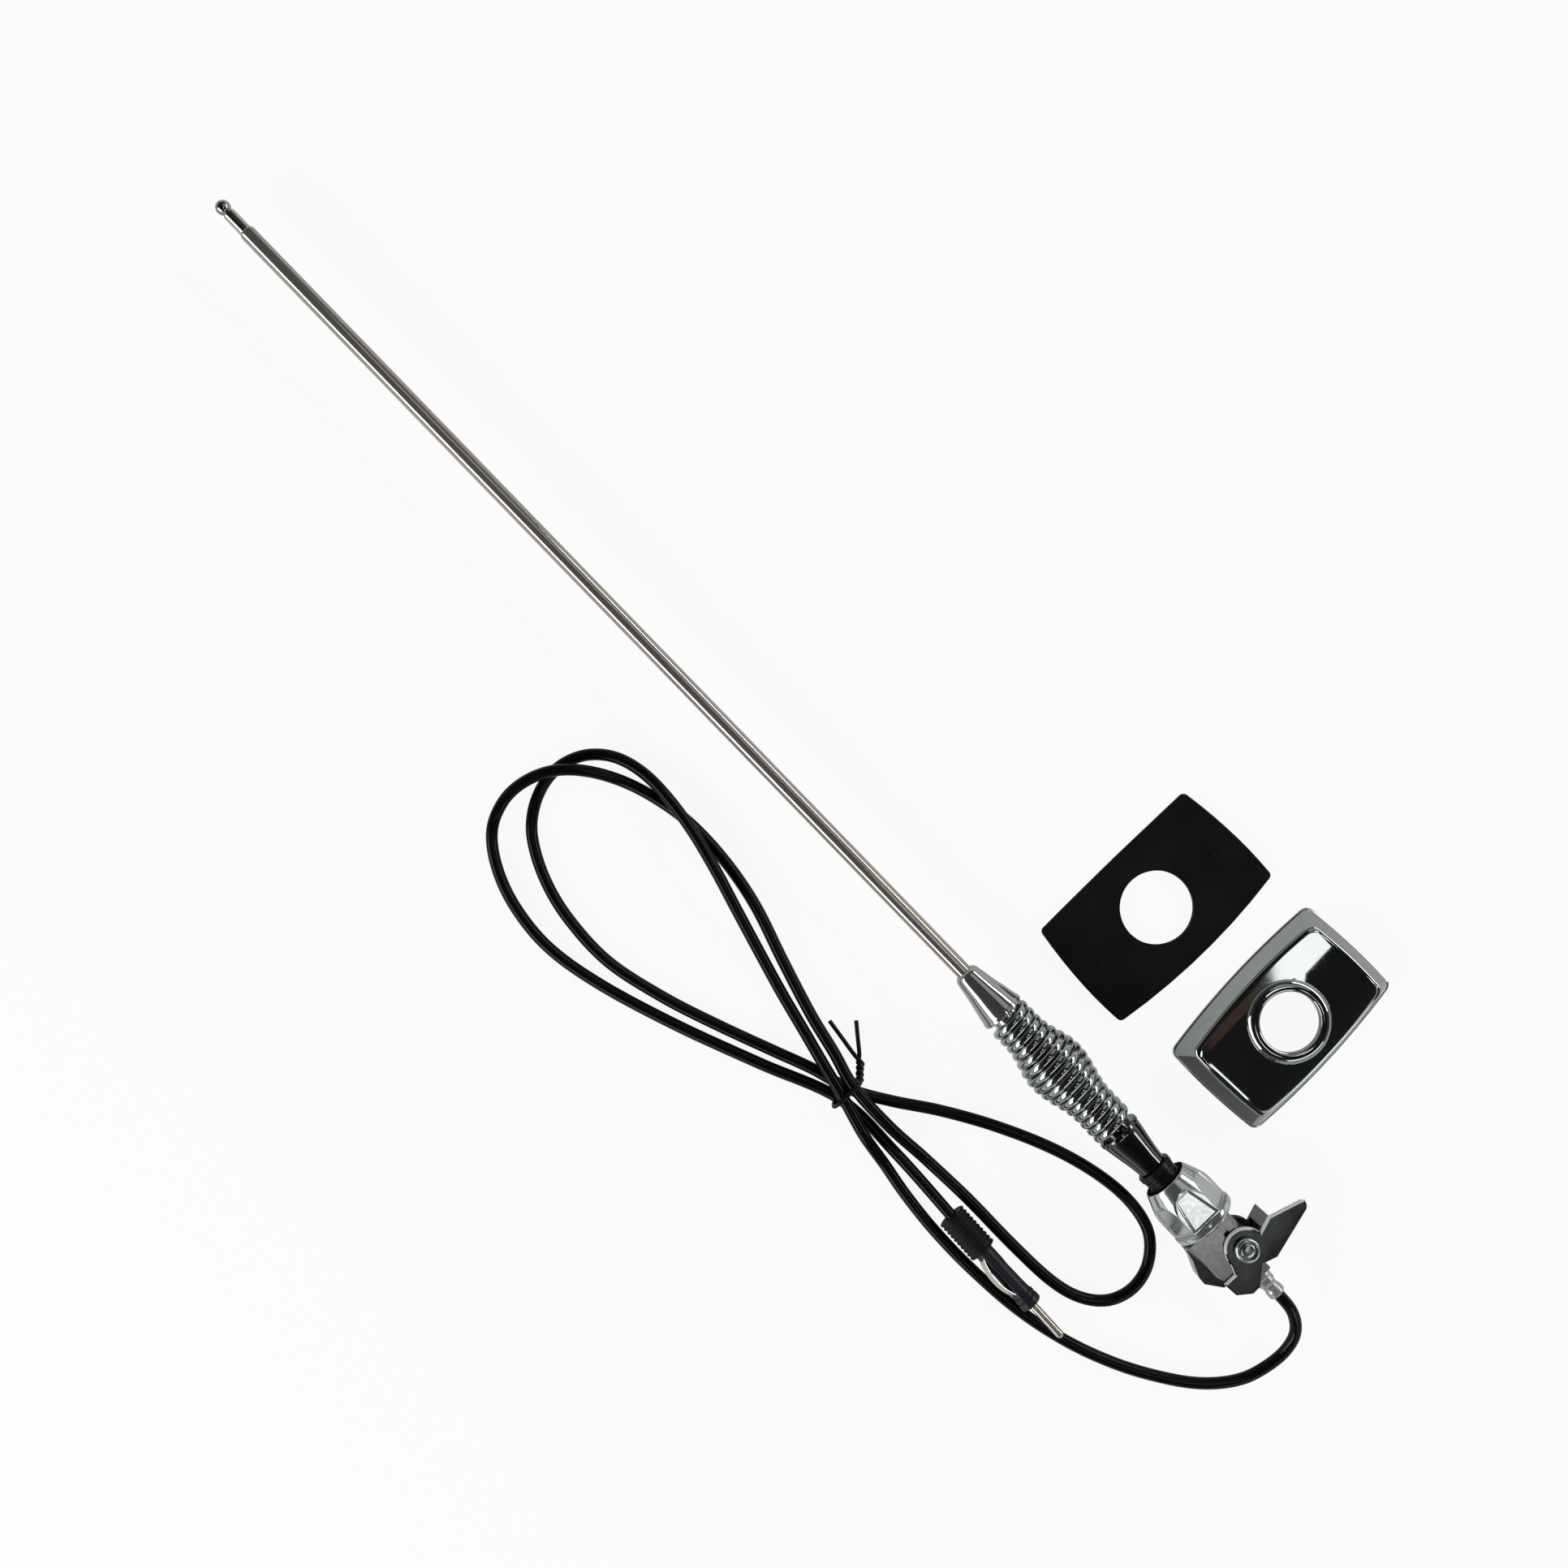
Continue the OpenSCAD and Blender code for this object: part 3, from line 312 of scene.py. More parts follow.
# %% The recipe
def finish(name, colour, metal=0.0, rough=(0.3, 0.4), grain=400, stretch=(1, 1, 1),
           depth=0.0, tint=0.1, ior=1.5, patches=45):
    """A finish with a fine grain for its gloss and broad patches for its colour."""
    made = bpy.data.materials.new(name)
    nodes, links = node_tree(made)
    shader = nodes.new("ShaderNodeBsdfPrincipled")
    out = nodes.new("ShaderNodeOutputMaterial")
    links.new(shader.outputs[0], out.inputs[0])
    where = nodes.new("ShaderNodeTexCoord")
    turn = nodes.new("ShaderNodeMapping")
    turn.inputs["Scale"].default_value = stretch
    links.new(where.outputs["Object"], turn.inputs[0])
    fine = nodes.new("ShaderNodeTexNoise")
    fine.inputs["Scale"].default_value = grain
    fine.inputs["Detail"].default_value = 2
    links.new(turn.outputs[0], fine.inputs["Vector"])
    broad = nodes.new("ShaderNodeTexNoise")
    broad.inputs["Scale"].default_value = patches
    broad.inputs["Detail"].default_value = 2
    links.new(where.outputs["Object"], broad.inputs["Vector"])
    shade = ramp(nodes, [(0.35, tuple(c * (1 - tint) for c in colour)), (0.65, colour)])
    links.new(broad.outputs["Fac"], shade.inputs["Fac"])
    links.new(shade.outputs["Color"], shader.inputs["Base Color"])
    both = nodes.new("ShaderNodeMath")
    links.new(fine.outputs["Fac"], both.inputs[0])
    links.new(broad.outputs["Fac"], both.inputs[1])
    spread = nodes.new("ShaderNodeMapRange")
    spread.inputs["From Min"].default_value = 0.7
    spread.inputs["From Max"].default_value = 1.3
    spread.inputs["To Min"].default_value = rough[0]
    spread.inputs["To Max"].default_value = rough[1]
    links.new(both.outputs[0], spread.inputs["Value"])
    links.new(spread.outputs[0], shader.inputs["Roughness"])
    if depth:
        relief = nodes.new("ShaderNodeBump")
        relief.inputs["Strength"].default_value = 0.5
        relief.inputs["Distance"].default_value = depth
        links.new(fine.outputs["Fac"], relief.inputs["Height"])
        links.new(relief.outputs[0], shader.inputs["Normal"])
    shader.inputs["Metallic"].default_value = metal
    shader.inputs["IOR"].default_value = ior
    return made


print("recipe ready")

# %% Metals
MICRON = 0.000001
LINES = (0.02, 1, 1)
bright_chrome = finish("bright_chrome", (0.35, 0.37, 0.365), 1, (0.03, 0.06), 900, tint=0.05)
cone_chrome = finish("cone_chrome", (0.42, 0.43, 0.42), 0.88, (0.08, 0.12), 900, tint=0.05)
# Painted shade: a darker copy of the chrome for the lower cone and the bezel's end wall.
painted_shade_chrome = finish("painted_shade_chrome", (0.11, 0.115, 0.113), 1, (0.06, 0.1), 900, tint=0.05)
spring_chrome = finish("spring_chrome", (0.4, 0.42, 0.42), 1, (0.06, 0.12), 900, tint=0.1)
soft_chrome = finish("soft_chrome", (0.58, 0.61, 0.6), 0.88, (0.12, 0.18), 700, tint=0.08)
drawn_steel = finish("drawn_steel", (0.4, 0.385, 0.34), 0.75, (0.08, 0.12), 900, LINES, tint=0.05)
nickel_plate = finish("nickel_plate", (0.55, 0.53, 0.48), 1, (0.14, 0.22), 900, LINES, tint=0.06)
pin_nickel = finish("pin_nickel", (0.5, 0.485, 0.42), 1, (0.26, 0.34), 900, LINES, tint=0.05)
zinc_cast = finish("zinc_cast", (0.3, 0.304, 0.292), 1, (0.17, 0.24), 500, tint=0.2, patches=180)
crimp_steel = finish("crimp_steel", (0.42, 0.43, 0.42), 0.7, (0.3, 0.36), 600, tint=0.08)
claw_zinc = finish("claw_zinc", (0.095, 0.102, 0.106), 1, (0.2, 0.28), 450, tint=0.35,
                   patches=140)
# Painted highlight: a near-white finish for the claw's edges that point up the mast.
painted_highlight_edge = finish("painted_highlight_edge", (0.86, 0.88, 0.87), 0.2, (0.4, 0.5), 500)
# Painted shade: a dark finish for the toe of the casting.
painted_shade_toe = finish("painted_shade_toe", (0.08, 0.08, 0.077), 1, (0.3, 0.4), 500)
screw_zinc = finish("screw_zinc", (0.48, 0.5, 0.49), 1, (0.2, 0.3), 700, tint=0.08, patches=200)
bright_zinc = finish("bright_zinc", (0.5, 0.52, 0.51), 1, (0.16, 0.28), 700, tint=0.1, patches=200)
leaf_nickel = finish("leaf_nickel", (0.62, 0.61, 0.57), 1, (0.26, 0.38), 700, tint=0.06)
drawn_brass = finish("drawn_brass", (0.72, 0.55, 0.26), 1, (0.15, 0.3), 800, LINES)
braid_tin = finish("braid_tin", (0.05, 0.05, 0.049), 1, (0.4, 0.6), 900, depth=40 * MICRON)
tinned_copper = finish("tinned_copper", (0.6, 0.45, 0.33), 1, (0.2, 0.4), 900)
print("metals made")

# %% Rubber and plastic
sheath_black = finish("sheath_black", (0.0035, 0.0038, 0.0038), 0, (0.13, 0.18), 500, ior=1.22)
tie_black = finish("tie_black", (0.005, 0.005, 0.005), 0, (0.3, 0.4), 900, ior=1.3)
moulded_black = finish("moulded_black", (0.004, 0.004, 0.004), 0, (0.26, 0.36), 900, ior=1.28)
barrel_black = finish("barrel_black", (0.011, 0.012, 0.017), 0, (0.34, 0.42), 800, ior=1.35)
boot_black = finish("boot_black", (0.01, 0.01, 0.01), 0, (0.5, 0.62), 900, depth=2 * MICRON,
                    tint=0.3, ior=1.25, patches=160)
pad_rubber = finish("pad_rubber", (0.0055, 0.0055, 0.0055), 0, (0.5, 0.66), 900,
                    depth=8 * MICRON, tint=0.4, ior=1.22, patches=70)
white_sleeve = finish("white_sleeve", (0.8, 0.8, 0.76), 0, (0.35, 0.5), 700)
lead.data.materials.append(sheath_black)
print("rubber and plastic made")

# %% [markdown]
# ## Turned pieces
# Ferrules, tubes, the insulator and the plug come off a lathe. In Blender that is a
# half profile spun once round the axis. Spin needs only the corners of the profile;
# a small bevel then breaks each hard edge, because no turned edge is truly sharp and
# that thin bright line is what the eye reads as metal.

# %% Lathe and edges
WELD = 0.0005


def as_piece(bm, name, material, body, nodes=(), place=None, smooth=32, second=None):
    """Turns a bmesh into a finished piece with smooth faces and hard edges kept."""
    bmesh.ops.remove_doubles(bm, verts=bm.verts, dist=WELD)
    bmesh.ops.recalc_face_normals(bm, faces=bm.faces)
    for face in bm.faces:
        face.smooth = True
    for edge in bm.edges:
        edge.smooth = not edge.is_manifold or edge.calc_face_angle(0) < math.radians(smooth)
    if place is not None:
        bmesh.ops.transform(bm, matrix=place, verts=bm.verts)
    data = bpy.data.meshes.new(name)
    bm.to_mesh(data)
    bm.free()
    data.materials.append(material)
    if second:
        data.materials.append(second)
    piece = bpy.data.objects.new(name, data)
    bpy.context.scene.collection.objects.link(piece)
    weighted = piece.modifiers.new("even_shading", "WEIGHTED_NORMAL")
    weighted.keep_sharp = True
    if body:
        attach(piece, body)
    if nodes:
        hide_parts(*nodes)
    print(name, len(data.polygons), "faces")
    return piece


def break_edges(bm, width, angle=25, segments=2, level=False):
    """Bevels every edge sharper than angle, or only the outer edges of faces that look up."""
    sharp = [e for e in bm.edges if e.is_manifold and e.calc_face_angle(0) > math.radians(angle)]
    if level:
        bm.normal_update()
        sharp = [e for e in sharp if e.is_convex and any(f.normal.z > 0.9 for f in e.link_faces)]
    bmesh.ops.bevel(bm, geom=sharp, offset=width, offset_type="OFFSET", segments=segments,
                    profile=0.5, affect="EDGES", material=-1, clamp_overlap=not level)


def spun(profile, steps=72, closed=False):
    """A bmesh spun from (distance, radius) corners, in millimetres along X."""
    bm = bmesh.new()
    corners = [bm.verts.new((x, r, 0)) for x, r in profile]
    ends = corners[1:] + corners[:1] if closed else corners[1:]
    rims = [bm.edges.new(pair) for pair in zip(corners, ends)]
    bmesh.ops.spin(bm, geom=corners + rims, cent=(0, 0, 0), axis=(1, 0, 0),
                   angle=2 * math.pi, steps=steps, use_merge=True)
    bmesh.ops.remove_doubles(bm, verts=bm.verts, dist=WELD)
    bmesh.ops.recalc_face_normals(bm, faces=bm.faces)
    return bm


def turned(name, profile, material, body, nodes, edge=0.12, closed=False,
           place=mast_line):
    """A piece spun from its half profile, with its edges broken, put on its line."""
    bm = spun(profile, closed=closed)
    if edge:
        break_edges(bm, edge)
    return as_piece(bm, name, material, body, nodes, place)


# %% [markdown]
# ## The mast
# Two drawn tubes and a rod slide in each other. The mouth of each tube is rolled in
# to guide the next one, which shows as a small step and a shadow line. A cylinder
# with a Solidify modifier would give the wall but not the mouth, so tubes are closed
# profiles: outside, mouth, guide and bore in one loop. The tip is a ball, so its
# profile is a row of points on an arc.

# %% Mast sections and tip
turned("outer_section", [
    (112.5, 2.75), (112.5, 3.1), (515.6, 3.1), (516.2, 2.95), (516.5, 2.75), (516.5, 2.55),
    (513.5, 2.55), (513.0, 2.75)], drawn_steel, "mast", ["outer_tube"],
    edge=0.05, closed=True)
turned("middle_section", [
    (124.5, 2.15), (124.5, 2.5), (525.4, 2.5), (525.9, 2.38), (526.2, 2.2), (526.2, 1.65),
    (523.2, 1.65), (522.7, 2.15)], nickel_plate, "mid", ["mid_tube"],
    edge=0.05, closed=True)
turned("inner_rod", [(132.5, 0), (132.5, 1.6), (529, 1.6), (529, 0)],
       nickel_plate, "top", ["top_rod"], edge=0.1)
BALL_AT, BALL_R, BALL_BORE = 529.0, 2.9, 1.62
ball = [(BALL_AT + BALL_R * math.sin(math.radians(a)), BALL_R * math.cos(math.radians(a)))
        for a in range(-54, 90, 6)]
turned("tip_bead", [(BALL_AT, 0), (BALL_AT, BALL_BORE), (BALL_AT - 1.2, BALL_BORE)] + ball
       + [(BALL_AT + BALL_R, 0)], bright_chrome, "top", ["tip_ball"], edge=0)

# %% [markdown]
# ## Ferrules and insulator
# The cones are pressed into the ends of the spring. A cone from create_cone would be
# straight, and theirs is slightly hollow in the middle, so the profile has a few more
# corners. The insulator keeps the mast apart from the car's body. It ends in a ball
# that leans in the head, and its neck has small grooves. The lower cone takes a darker
# copy of the chrome as painted shade, which makes it much darker than the upper one.

# %% Cones and insulator
turned("upper_cone", [
    (99, 0), (99, 5.3), (99.8, 5.9), (109, 5.9), (109, 8.4), (109.3, 8.7), (110.7, 8.7),
    (111.3, 8.35), (116, 7.45), (121, 6.3), (127.2, 5.25), (128.6, 5.0), (129.6, 4.55),
    (130.3, 3.9), (130.5, 3.6), (130.5, 3.15), (118, 3.15), (118, 0)],
    cone_chrome, "mast", ["upper_ferrule"], edge=0.1)
# Painted shade: the lower cone takes the darker chrome.
turned("lower_cone", [
    (8, 0), (8, 2.5), (8.5, 3), (29.2, 3), (29.2, 5.4), (29.7, 5.8), (31.2, 5.9), (34, 6.25),
    (39, 7.15), (44, 8.05), (46.2, 8.4), (46.7, 8.7), (47.8, 8.7), (48.2, 8.4), (48.2, 5.9),
    (57.4, 5.9), (58.2, 5.3), (58.2, 0)],
    painted_shade_chrome, "spring_base", ["lower_ferrule"], edge=0.1)
LEAN_AT, LEAN_R = 14, 9.2
seat_ball = [(LEAN_AT + LEAN_R * math.sin(math.radians(a)), LEAN_R * math.cos(math.radians(a)))
             for a in range(-70, 43, 4)]
turned("insulator_neck", [(5.36, 3.06)] + seat_ball + [
    (21.4, 6.7), (22.9, 6.7), (23.1, 6.45), (23.5, 6.45), (23.7, 6.7), (24.4, 6.7), (24.6, 6.45),
    (25.0, 6.45), (25.2, 6.7), (26.1, 6.7), (26.3, 6.4), (26.6, 6.4), (26.8, 7.1), (28.7, 7.1),
    (29.15, 6.7), (29.15, 3.06)],
    moulded_black, "spring_base", ["insulator"], edge=0.06, closed=True)

# %% [markdown]
# ## The barrel spring
# A bevelled curve along a helix could make this spring, and so could a Screw modifier.
# The first needs hundreds of points and the second can't change its radius. A coil is
# a circle of wire swept round and along at once, which is also what spin does when it
# is given a step along the axis. That makes a straight coil. Each ring is then moved
# out to the radius that the barrel has there. The coils all but touch, and the wire is
# a little wider along the spring than across it. A joint bends the spring in its
# middle, but the piece is attached to neither of the two bodies it joins.

# %% The barrel's shape
TURNS, STEPS, WIRE, WIRE_LONG, SIDES = 16, 44, 1.45, 1.72, 16
SPRING_FROM, SPRING_LEN, WIDEST_AT, STRAIGHT_R = 48.2, 60.8, 33, 10.0
END_R, SWELL = 8.9, 3.5


def barrel_radius(u):
    """Middle of the wire at a distance u from the spring's lower end."""
    half = WIDEST_AT * 0.62 if u < WIDEST_AT else (SPRING_LEN - WIDEST_AT) * 0.64
    reach = min(abs(u - WIDEST_AT) / half, 1)
    return END_R - WIRE + SWELL * (0.5 + 0.5 * math.cos(math.pi * reach))


print("spring from", END_R, "to", END_R + SWELL, "mm")

# %% Spring
travel = SPRING_LEN - 2 * WIRE_LONG - 0.1
bm = bmesh.new()
across = (Matrix.Translation((SPRING_FROM + WIRE_LONG + 0.05, 0, -STRAIGHT_R))
          @ Matrix.Rotation(math.pi / 2, 4, "X") @ Matrix.Scale(WIRE_LONG / WIRE, 4, (1, 0, 0)))
bmesh.ops.create_circle(bm, segments=SIDES, radius=WIRE, matrix=across)
count = TURNS * STEPS
bmesh.ops.spin(bm, geom=list(bm.verts) + list(bm.edges), cent=(0, 0, 0), axis=(1, 0, 0),
               dvec=(travel / count, 0, 0), angle=2 * math.pi * TURNS, steps=count)
bm.verts.ensure_lookup_table()
rings = len(bm.verts) // SIDES
for i in range(rings):
    ring = bm.verts[i * SIDES:(i + 1) * SIDES]
    middle = sum((v.co for v in ring), Vector()) / SIDES
    outward = Vector((0, middle.y, middle.z))
    shift = barrel_radius(middle.x - SPRING_FROM) - outward.length
    bmesh.ops.translate(bm, vec=outward.normalized() * shift, verts=ring)
bmesh.ops.holes_fill(bm, edges=[e for e in bm.edges if e.is_boundary], sides=SIDES)
spring = as_piece(bm, "barrel_spring", spring_chrome, None, (), mast_line)
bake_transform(spring)
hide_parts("spring")
print("spring rings", rings)

# %% [markdown]
# ## Pieces cut from the CAD
# Casting, claw, nut and gasket are not round: flats, recesses and plates matter.
# Their CAD solids already have the right shape, so a copy is merged, its flat faces
# are joined again, and its edges are broken. The CAD node itself is left alone. A rule
# may give some faces a second finish that is painted light: a near-white painted
# highlight on the claw's edges that point up the mast, and painted shade on the toe of the
# casting.

# %% Softened copies
MERGE, MERGE_LEVEL = 0.003, 0.3


def softened(node, name, edge, material, angle=28, segments=2, level=False,
             painted_light=None, where=None):
    """A copy of a CAD node with broken edges, and a second finish of painted light where a rule
    says so.
    """
    bm = bmesh.new()
    bm.from_mesh(frame["nodes"][node].data)
    bmesh.ops.scale(bm, vec=(1 / MM,) * 3, verts=bm.verts)
    bmesh.ops.remove_doubles(bm, verts=bm.verts, dist=MERGE_LEVEL if level else MERGE)
    bmesh.ops.dissolve_limit(bm, angle_limit=math.radians(1), verts=bm.verts, edges=bm.edges)
    break_edges(bm, edge, angle, segments, level)
    if painted_light:
        bm.normal_update()
        for face in bm.faces:
            if where(face.normal, face.calc_center_median() - SEAT / MM):
                face.material_index = 1
    body = frame["nodes"][node]["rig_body"]
    return as_piece(bm, name, material, body, [node], Matrix.Scale(MM, 4), second=painted_light)


# The toe of the casting takes painted shade.
softened("base_body", "base_casting", 0.8, zinc_cast, segments=3,
         painted_light=painted_shade_toe, where=lambda n, p: n.z > 0.5 and p.x < -7 and p.y > 6.5 and p.z < 5.5)
# The claw's edges that point up the mast take a painted highlight.
softened("claw", "swing_claw", 0.8, claw_zinc, level=True,
         painted_light=painted_highlight_edge, where=lambda n, p: abs(n.z) < 0.95 and n.x > 0.2 and p.z > 0)
softened("claw_nut", "pivot_nut", 0.15, bright_zinc)
softened("gasket", "rubber_pad", 0.25, pad_rubber, angle=40)

# %% [markdown]
# ## The chrome head
# The head is turned, then six flats are milled and each gets a shallow pocket. Here
# its skin is one grid of rings and spokes. Each point lies at the turned radius or on
# the nearest flat, whichever is less, and a soft minimum rounds the edge between the
# two. That keeps the mirror free of the small flaws that a bevel leaves on arcs. Where
# nothing is milled, the flat is moved far out, so that the turned radius counts.

# %% The head's shape
FLAT, ACROSS_HALF, FLANGE, FLAT_END = 60, 10.9, 3.0, 18.0
POCKET, POCKET_HALF, POCKET_TAPER, SOFT, FAR_OUT = 0.35, 6.0, 3.1, 0.3, 4
HEAD_SIDE = [(0, 8.6), (0, 11.6), (0.2, 12.1), (0.9, 12.8), (2, 13), (10.5, 13), (12.5, 12.7),
             (15.5, 11.9), (18.2, 10.9), (20.7, 9.9), (21.6, 9.55), (22.3, 9.2), (22.5, 8.95),
             (22.5, 8.82)]


def step(value, width):
    """Rises smoothly from 0 to 1 while value goes from -width to +width."""
    t = min(max(value / width * 0.5 + 0.5, 0), 1)
    return t * t * (3 - 2 * t)


def head_radius(x, turn, r):
    """Radius of the head's skin at a place along it and a turn round it."""
    off = (math.degrees(turn) + FLAT / 2) % FLAT - FLAT / 2
    cosine = math.cos(math.radians(off))
    side = ACROSS_HALF * math.tan(math.radians(off))
    along = (x - FLANGE) / (FLAT_END - FLANGE)
    half_width = POCKET_HALF - POCKET_TAPER * along
    inside = min(half_width - abs(side), x - FLANGE - 1, FLAT_END - 1.2 - x)
    flat = (ACROSS_HALF - POCKET * step(inside, 0.3)) / cosine
    mill = step(x - FLANGE, 0.12) * step(FLAT_END + 0.6 - x, 0.5)
    flat += (1 - mill) * FAR_OUT
    return min(r, flat) - max(SOFT - abs(r - flat), 0) ** 2 / (4 * SOFT)


print("flat is", ACROSS_HALF, "mm from the axis")

# %% Head
stations = [HEAD_SIDE[0]]
for (x0, r0), (x1, r1) in zip(HEAD_SIDE, HEAD_SIDE[1:]):
    pieces = max(1, math.ceil(math.hypot(x1 - x0, r1 - r0) / 0.16))
    stations += [(x0 + (x1 - x0) * k / pieces, r0 + (r1 - r0) * k / pieces)
                 for k in range(1, pieces + 1)]
INSIDE = [(14.4, 8.82), (14.2, 9.05), (14, 9.3), (14, 8.6), (0, 8.6)]
WIDEST_INSIDE = 9.32
bm = spun(stations + INSIDE, steps=360)
for v in bm.verts:
    r = math.hypot(v.co.y, v.co.z)
    if r > WIDEST_INSIDE and v.co.x < 22:
        turn = math.atan2(v.co.y, v.co.z)
        new = head_radius(v.co.x, turn, r)
        v.co.y, v.co.z = new * math.sin(turn), new * math.cos(turn)
as_piece(bm, "domed_head", soft_chrome, "base", ["head_nut"], mast_line, smooth=40)

# %% [markdown]
# ## The claw's screw
# A ring with rolled edges stands on the claw, and a bright riveted boss fills its
# middle. The shank runs through claw, washers and casting to the nut. Ring, boss and
# shank are one profile, because the hollow between them is too deep for a bump map
# and too round for cut cylinders.

# %% Screw
screw_line = line_at(-14.2, -3.6, 0) @ Matrix.Rotation(-math.pi / 2, 4, "Y")
turned("pivot_screw", [
    (-12.25, 0), (-12.25, 1.8), (-12.05, 2), (9.9, 2), (9.95, 2.2), (9.95, 4.6), (10.15, 4.8),
    (11.1, 4.8), (11.9, 4.5), (12.3, 4.0), (12.35, 3.7), (12.2, 3.4), (11.5, 3.25), (11.2, 3.05),
    (11.3, 2.75), (11.9, 2.6), (12.2, 2.1), (12.35, 1.2), (12.4, 0)],
    screw_zinc, "base", ["claw_screw"], edge=0, place=screw_line)

# %% [markdown]
# ## The bezel
# A chromed cap that hides the hole in the car's body: sloping sides, four tight
# corners, a slightly domed top and a raised collar round the hole. It is hollow
# underneath. A bevelled box with a hole cut in it would be quicker, but its top would
# be flat, and the cut would leave long thin faces that a mirror shows at once. Here all
# sections have the same number of points, so quads laid from section to section give
# one clean skin. The end wall that faces the mast takes a darker chrome, which is painted shade.
#
# Each level of the side is a height, a share of the way from foot to top edge, and the
# millimetres it lies further in. Each step of the collar is a radius and a height over
# the top.

# %% Bezel outlines
CORNER_STEPS, SIDE_STEPS, TOP_STEPS = 6, 26, 12
LONG, WIDE, TALL, WALL = 39.2, 24.3, 12.6, 1.6
SIDE_SLOPE, END_SLOPE, SIDE_BOW, END_BOW = 4.0, 5.2, 2.2, 1.0


def bowed_outline(a, b, corner):
    """Rectangle with small round corners and sides that bow out in their middles."""
    x, y = a - corner, b - corner
    centres = [(x, y), (-x, y), (-x, -y), (x, -y)]
    points = []
    for q, (cx, cy) in enumerate(centres):
        nx, ny = centres[(q + 1) % 4]
        for k in range(CORNER_STEPS + 1):
            t = math.radians(90 * q + 90 * k / CORNER_STEPS)
            points.append((cx + corner * math.cos(t), cy + corner * math.sin(t)))
        out = math.radians(90 * (q + 1))
        for k in range(1, SIDE_STEPS):
            f = k / SIDE_STEPS
            points.append((cx + (nx - cx) * f + corner * math.cos(out),
                           cy + (ny - cy) * f + corner * math.sin(out)))
    return [(px * (1 - END_BOW / a * (py / b) ** 2), py * (1 - SIDE_BOW / b * (px / a) ** 2))
            for px, py in points]


def section(z, part, extra, corner=3.0):
    """Outline at a height: part 0 at the foot and 1 at the top edge, extra millimetres in."""
    a, b = LONG - END_SLOPE * part - extra, WIDE - SIDE_SLOPE * part - extra
    return [(x, y, z) for x, y in bowed_outline(a, b, corner)]


def dome(x, y):
    """Height of the top: domed across, and rounded off only near its two ends."""
    across = abs(y / (WIDE - SIDE_SLOPE)) ** 3
    along = (x / (LONG - END_SLOPE)) ** 60
    return TALL - 1.1 * (across + (1 - across) * along)


rim = section(0, 1, 1.4)
turns = [math.atan2(y, x) for x, y, _ in rim]


def hoop(r, z=None):
    """A circle whose points stand in line with those of the rim."""
    flat = [(r * math.cos(t), r * math.sin(t)) for t in turns]
    return [(x, y, dome(x, y) if z is None else z) for x, y in flat]


print("rim of", len(rim), "points")

# %% Bezel skin
LEVELS = [(0, 0, 0.25), (0.3, 0, 0.02), (1.3, 0, 0.08), (1.5, 0, 0.16), (1.6, 0, 0.3),
          (1.65, 0, 0.5), (1.8, 0, 0.66), (2.2, 0, 0.78), (TALL - 2.3, 1, -0.34),
          (TALL - 1.95, 1, -0.2), (TALL - 1.65, 1, -0.04), (TALL - 1.4, 1, 0.17),
          (TALL - 1.22, 1, 0.42), (TALL - 1.1, 1, 0.75), (TALL - 1.03, 1, 1.1)]
skin = [section(*level) for level in LEVELS]
base_hoop = hoop(16.0)
for k in range(TOP_STEPS):
    f = (k / TOP_STEPS) ** 2
    flat = [(x * (1 - f) + bx * f, y * (1 - f) + by * f)
            for (x, y, _), (bx, by, _) in zip(rim, base_hoop)]
    skin.append([(x, y, dome(x, y)) for x, y in flat])
COLLAR = [(15.85, 0.05), (15.7, 0.25), (15.2, 0.75), (14.6, 1.2), (13.9, 1.5), (13.4, 1.58),
          (12.6, 1.58), (12.2, 1.5), (11.75, 1.25), (11.5, 1.0), (11.5, -2.0), (11.7, -2.2)]
skin += [base_hoop] + [hoop(r, TALL + z) for r, z in COLLAR]
skin += [section(TALL - 2.2, 1, WALL + 1.4, 2.2), section(TALL - 3.6, 1, WALL - 0.6, 2.2),
         section(0, 0, WALL, 2.2)]
PAINTED_SHADE_WALL_FROM = 35.4
bm = bmesh.new()
hoops = [[bm.verts.new(point) for point in points] for points in skin]
for low, high in zip(hoops, hoops[1:] + hoops[:1]):
    for i in range(len(low)):
        bm.faces.new((low[i - 1], low[i], high[i], high[i - 1]))
# Faces of the end wall take the darker chrome: painted shade.
for face in bm.faces:
    middle = face.calc_center_median()
    face.material_index = int(middle.x > PAINTED_SHADE_WALL_FROM and 3 < middle.z < 9)
bezel_line = line_at(32, -74.6, -AXIS_HEIGHT) @ Matrix.Rotation(math.radians(93), 4, "Z")
as_piece(bm, "chrome_bezel", bright_chrome, "base", ["bezel"], bezel_line,
         smooth=50, second=painted_shade_chrome)

# %% [markdown]
# ## The wire tie
# A soft plastic-coated wire is laid round the four strands, twisted by three half
# turns and left with two free ends that spread in a V. Each half is one smooth curve,
# as the lead is, so the same helper draws it. The wrap is a rounded rectangle, which a
# power under 1 makes of a circle, and the twist is two curves half a turn apart.

# %% The wrap
MIDDLE_ACROSS, MIDDLE_UP, HALF_ACROSS, HALF_UP, SQUARED = 63.9, 6.0, 6.7, 5.0, 0.6


def wrap_point(turn, out):
    """A place on the wrap round the strands, seen along the lead."""
    c, s = math.cos(turn), math.sin(turn)
    return (out, MIDDLE_ACROSS + HALF_ACROSS * math.copysign(abs(c) ** SQUARED, c),
            MIDDLE_UP + HALF_UP * math.copysign(abs(s) ** SQUARED, s))


print("wrap of", 2 * HALF_ACROSS, "by", 2 * HALF_UP, "mm")

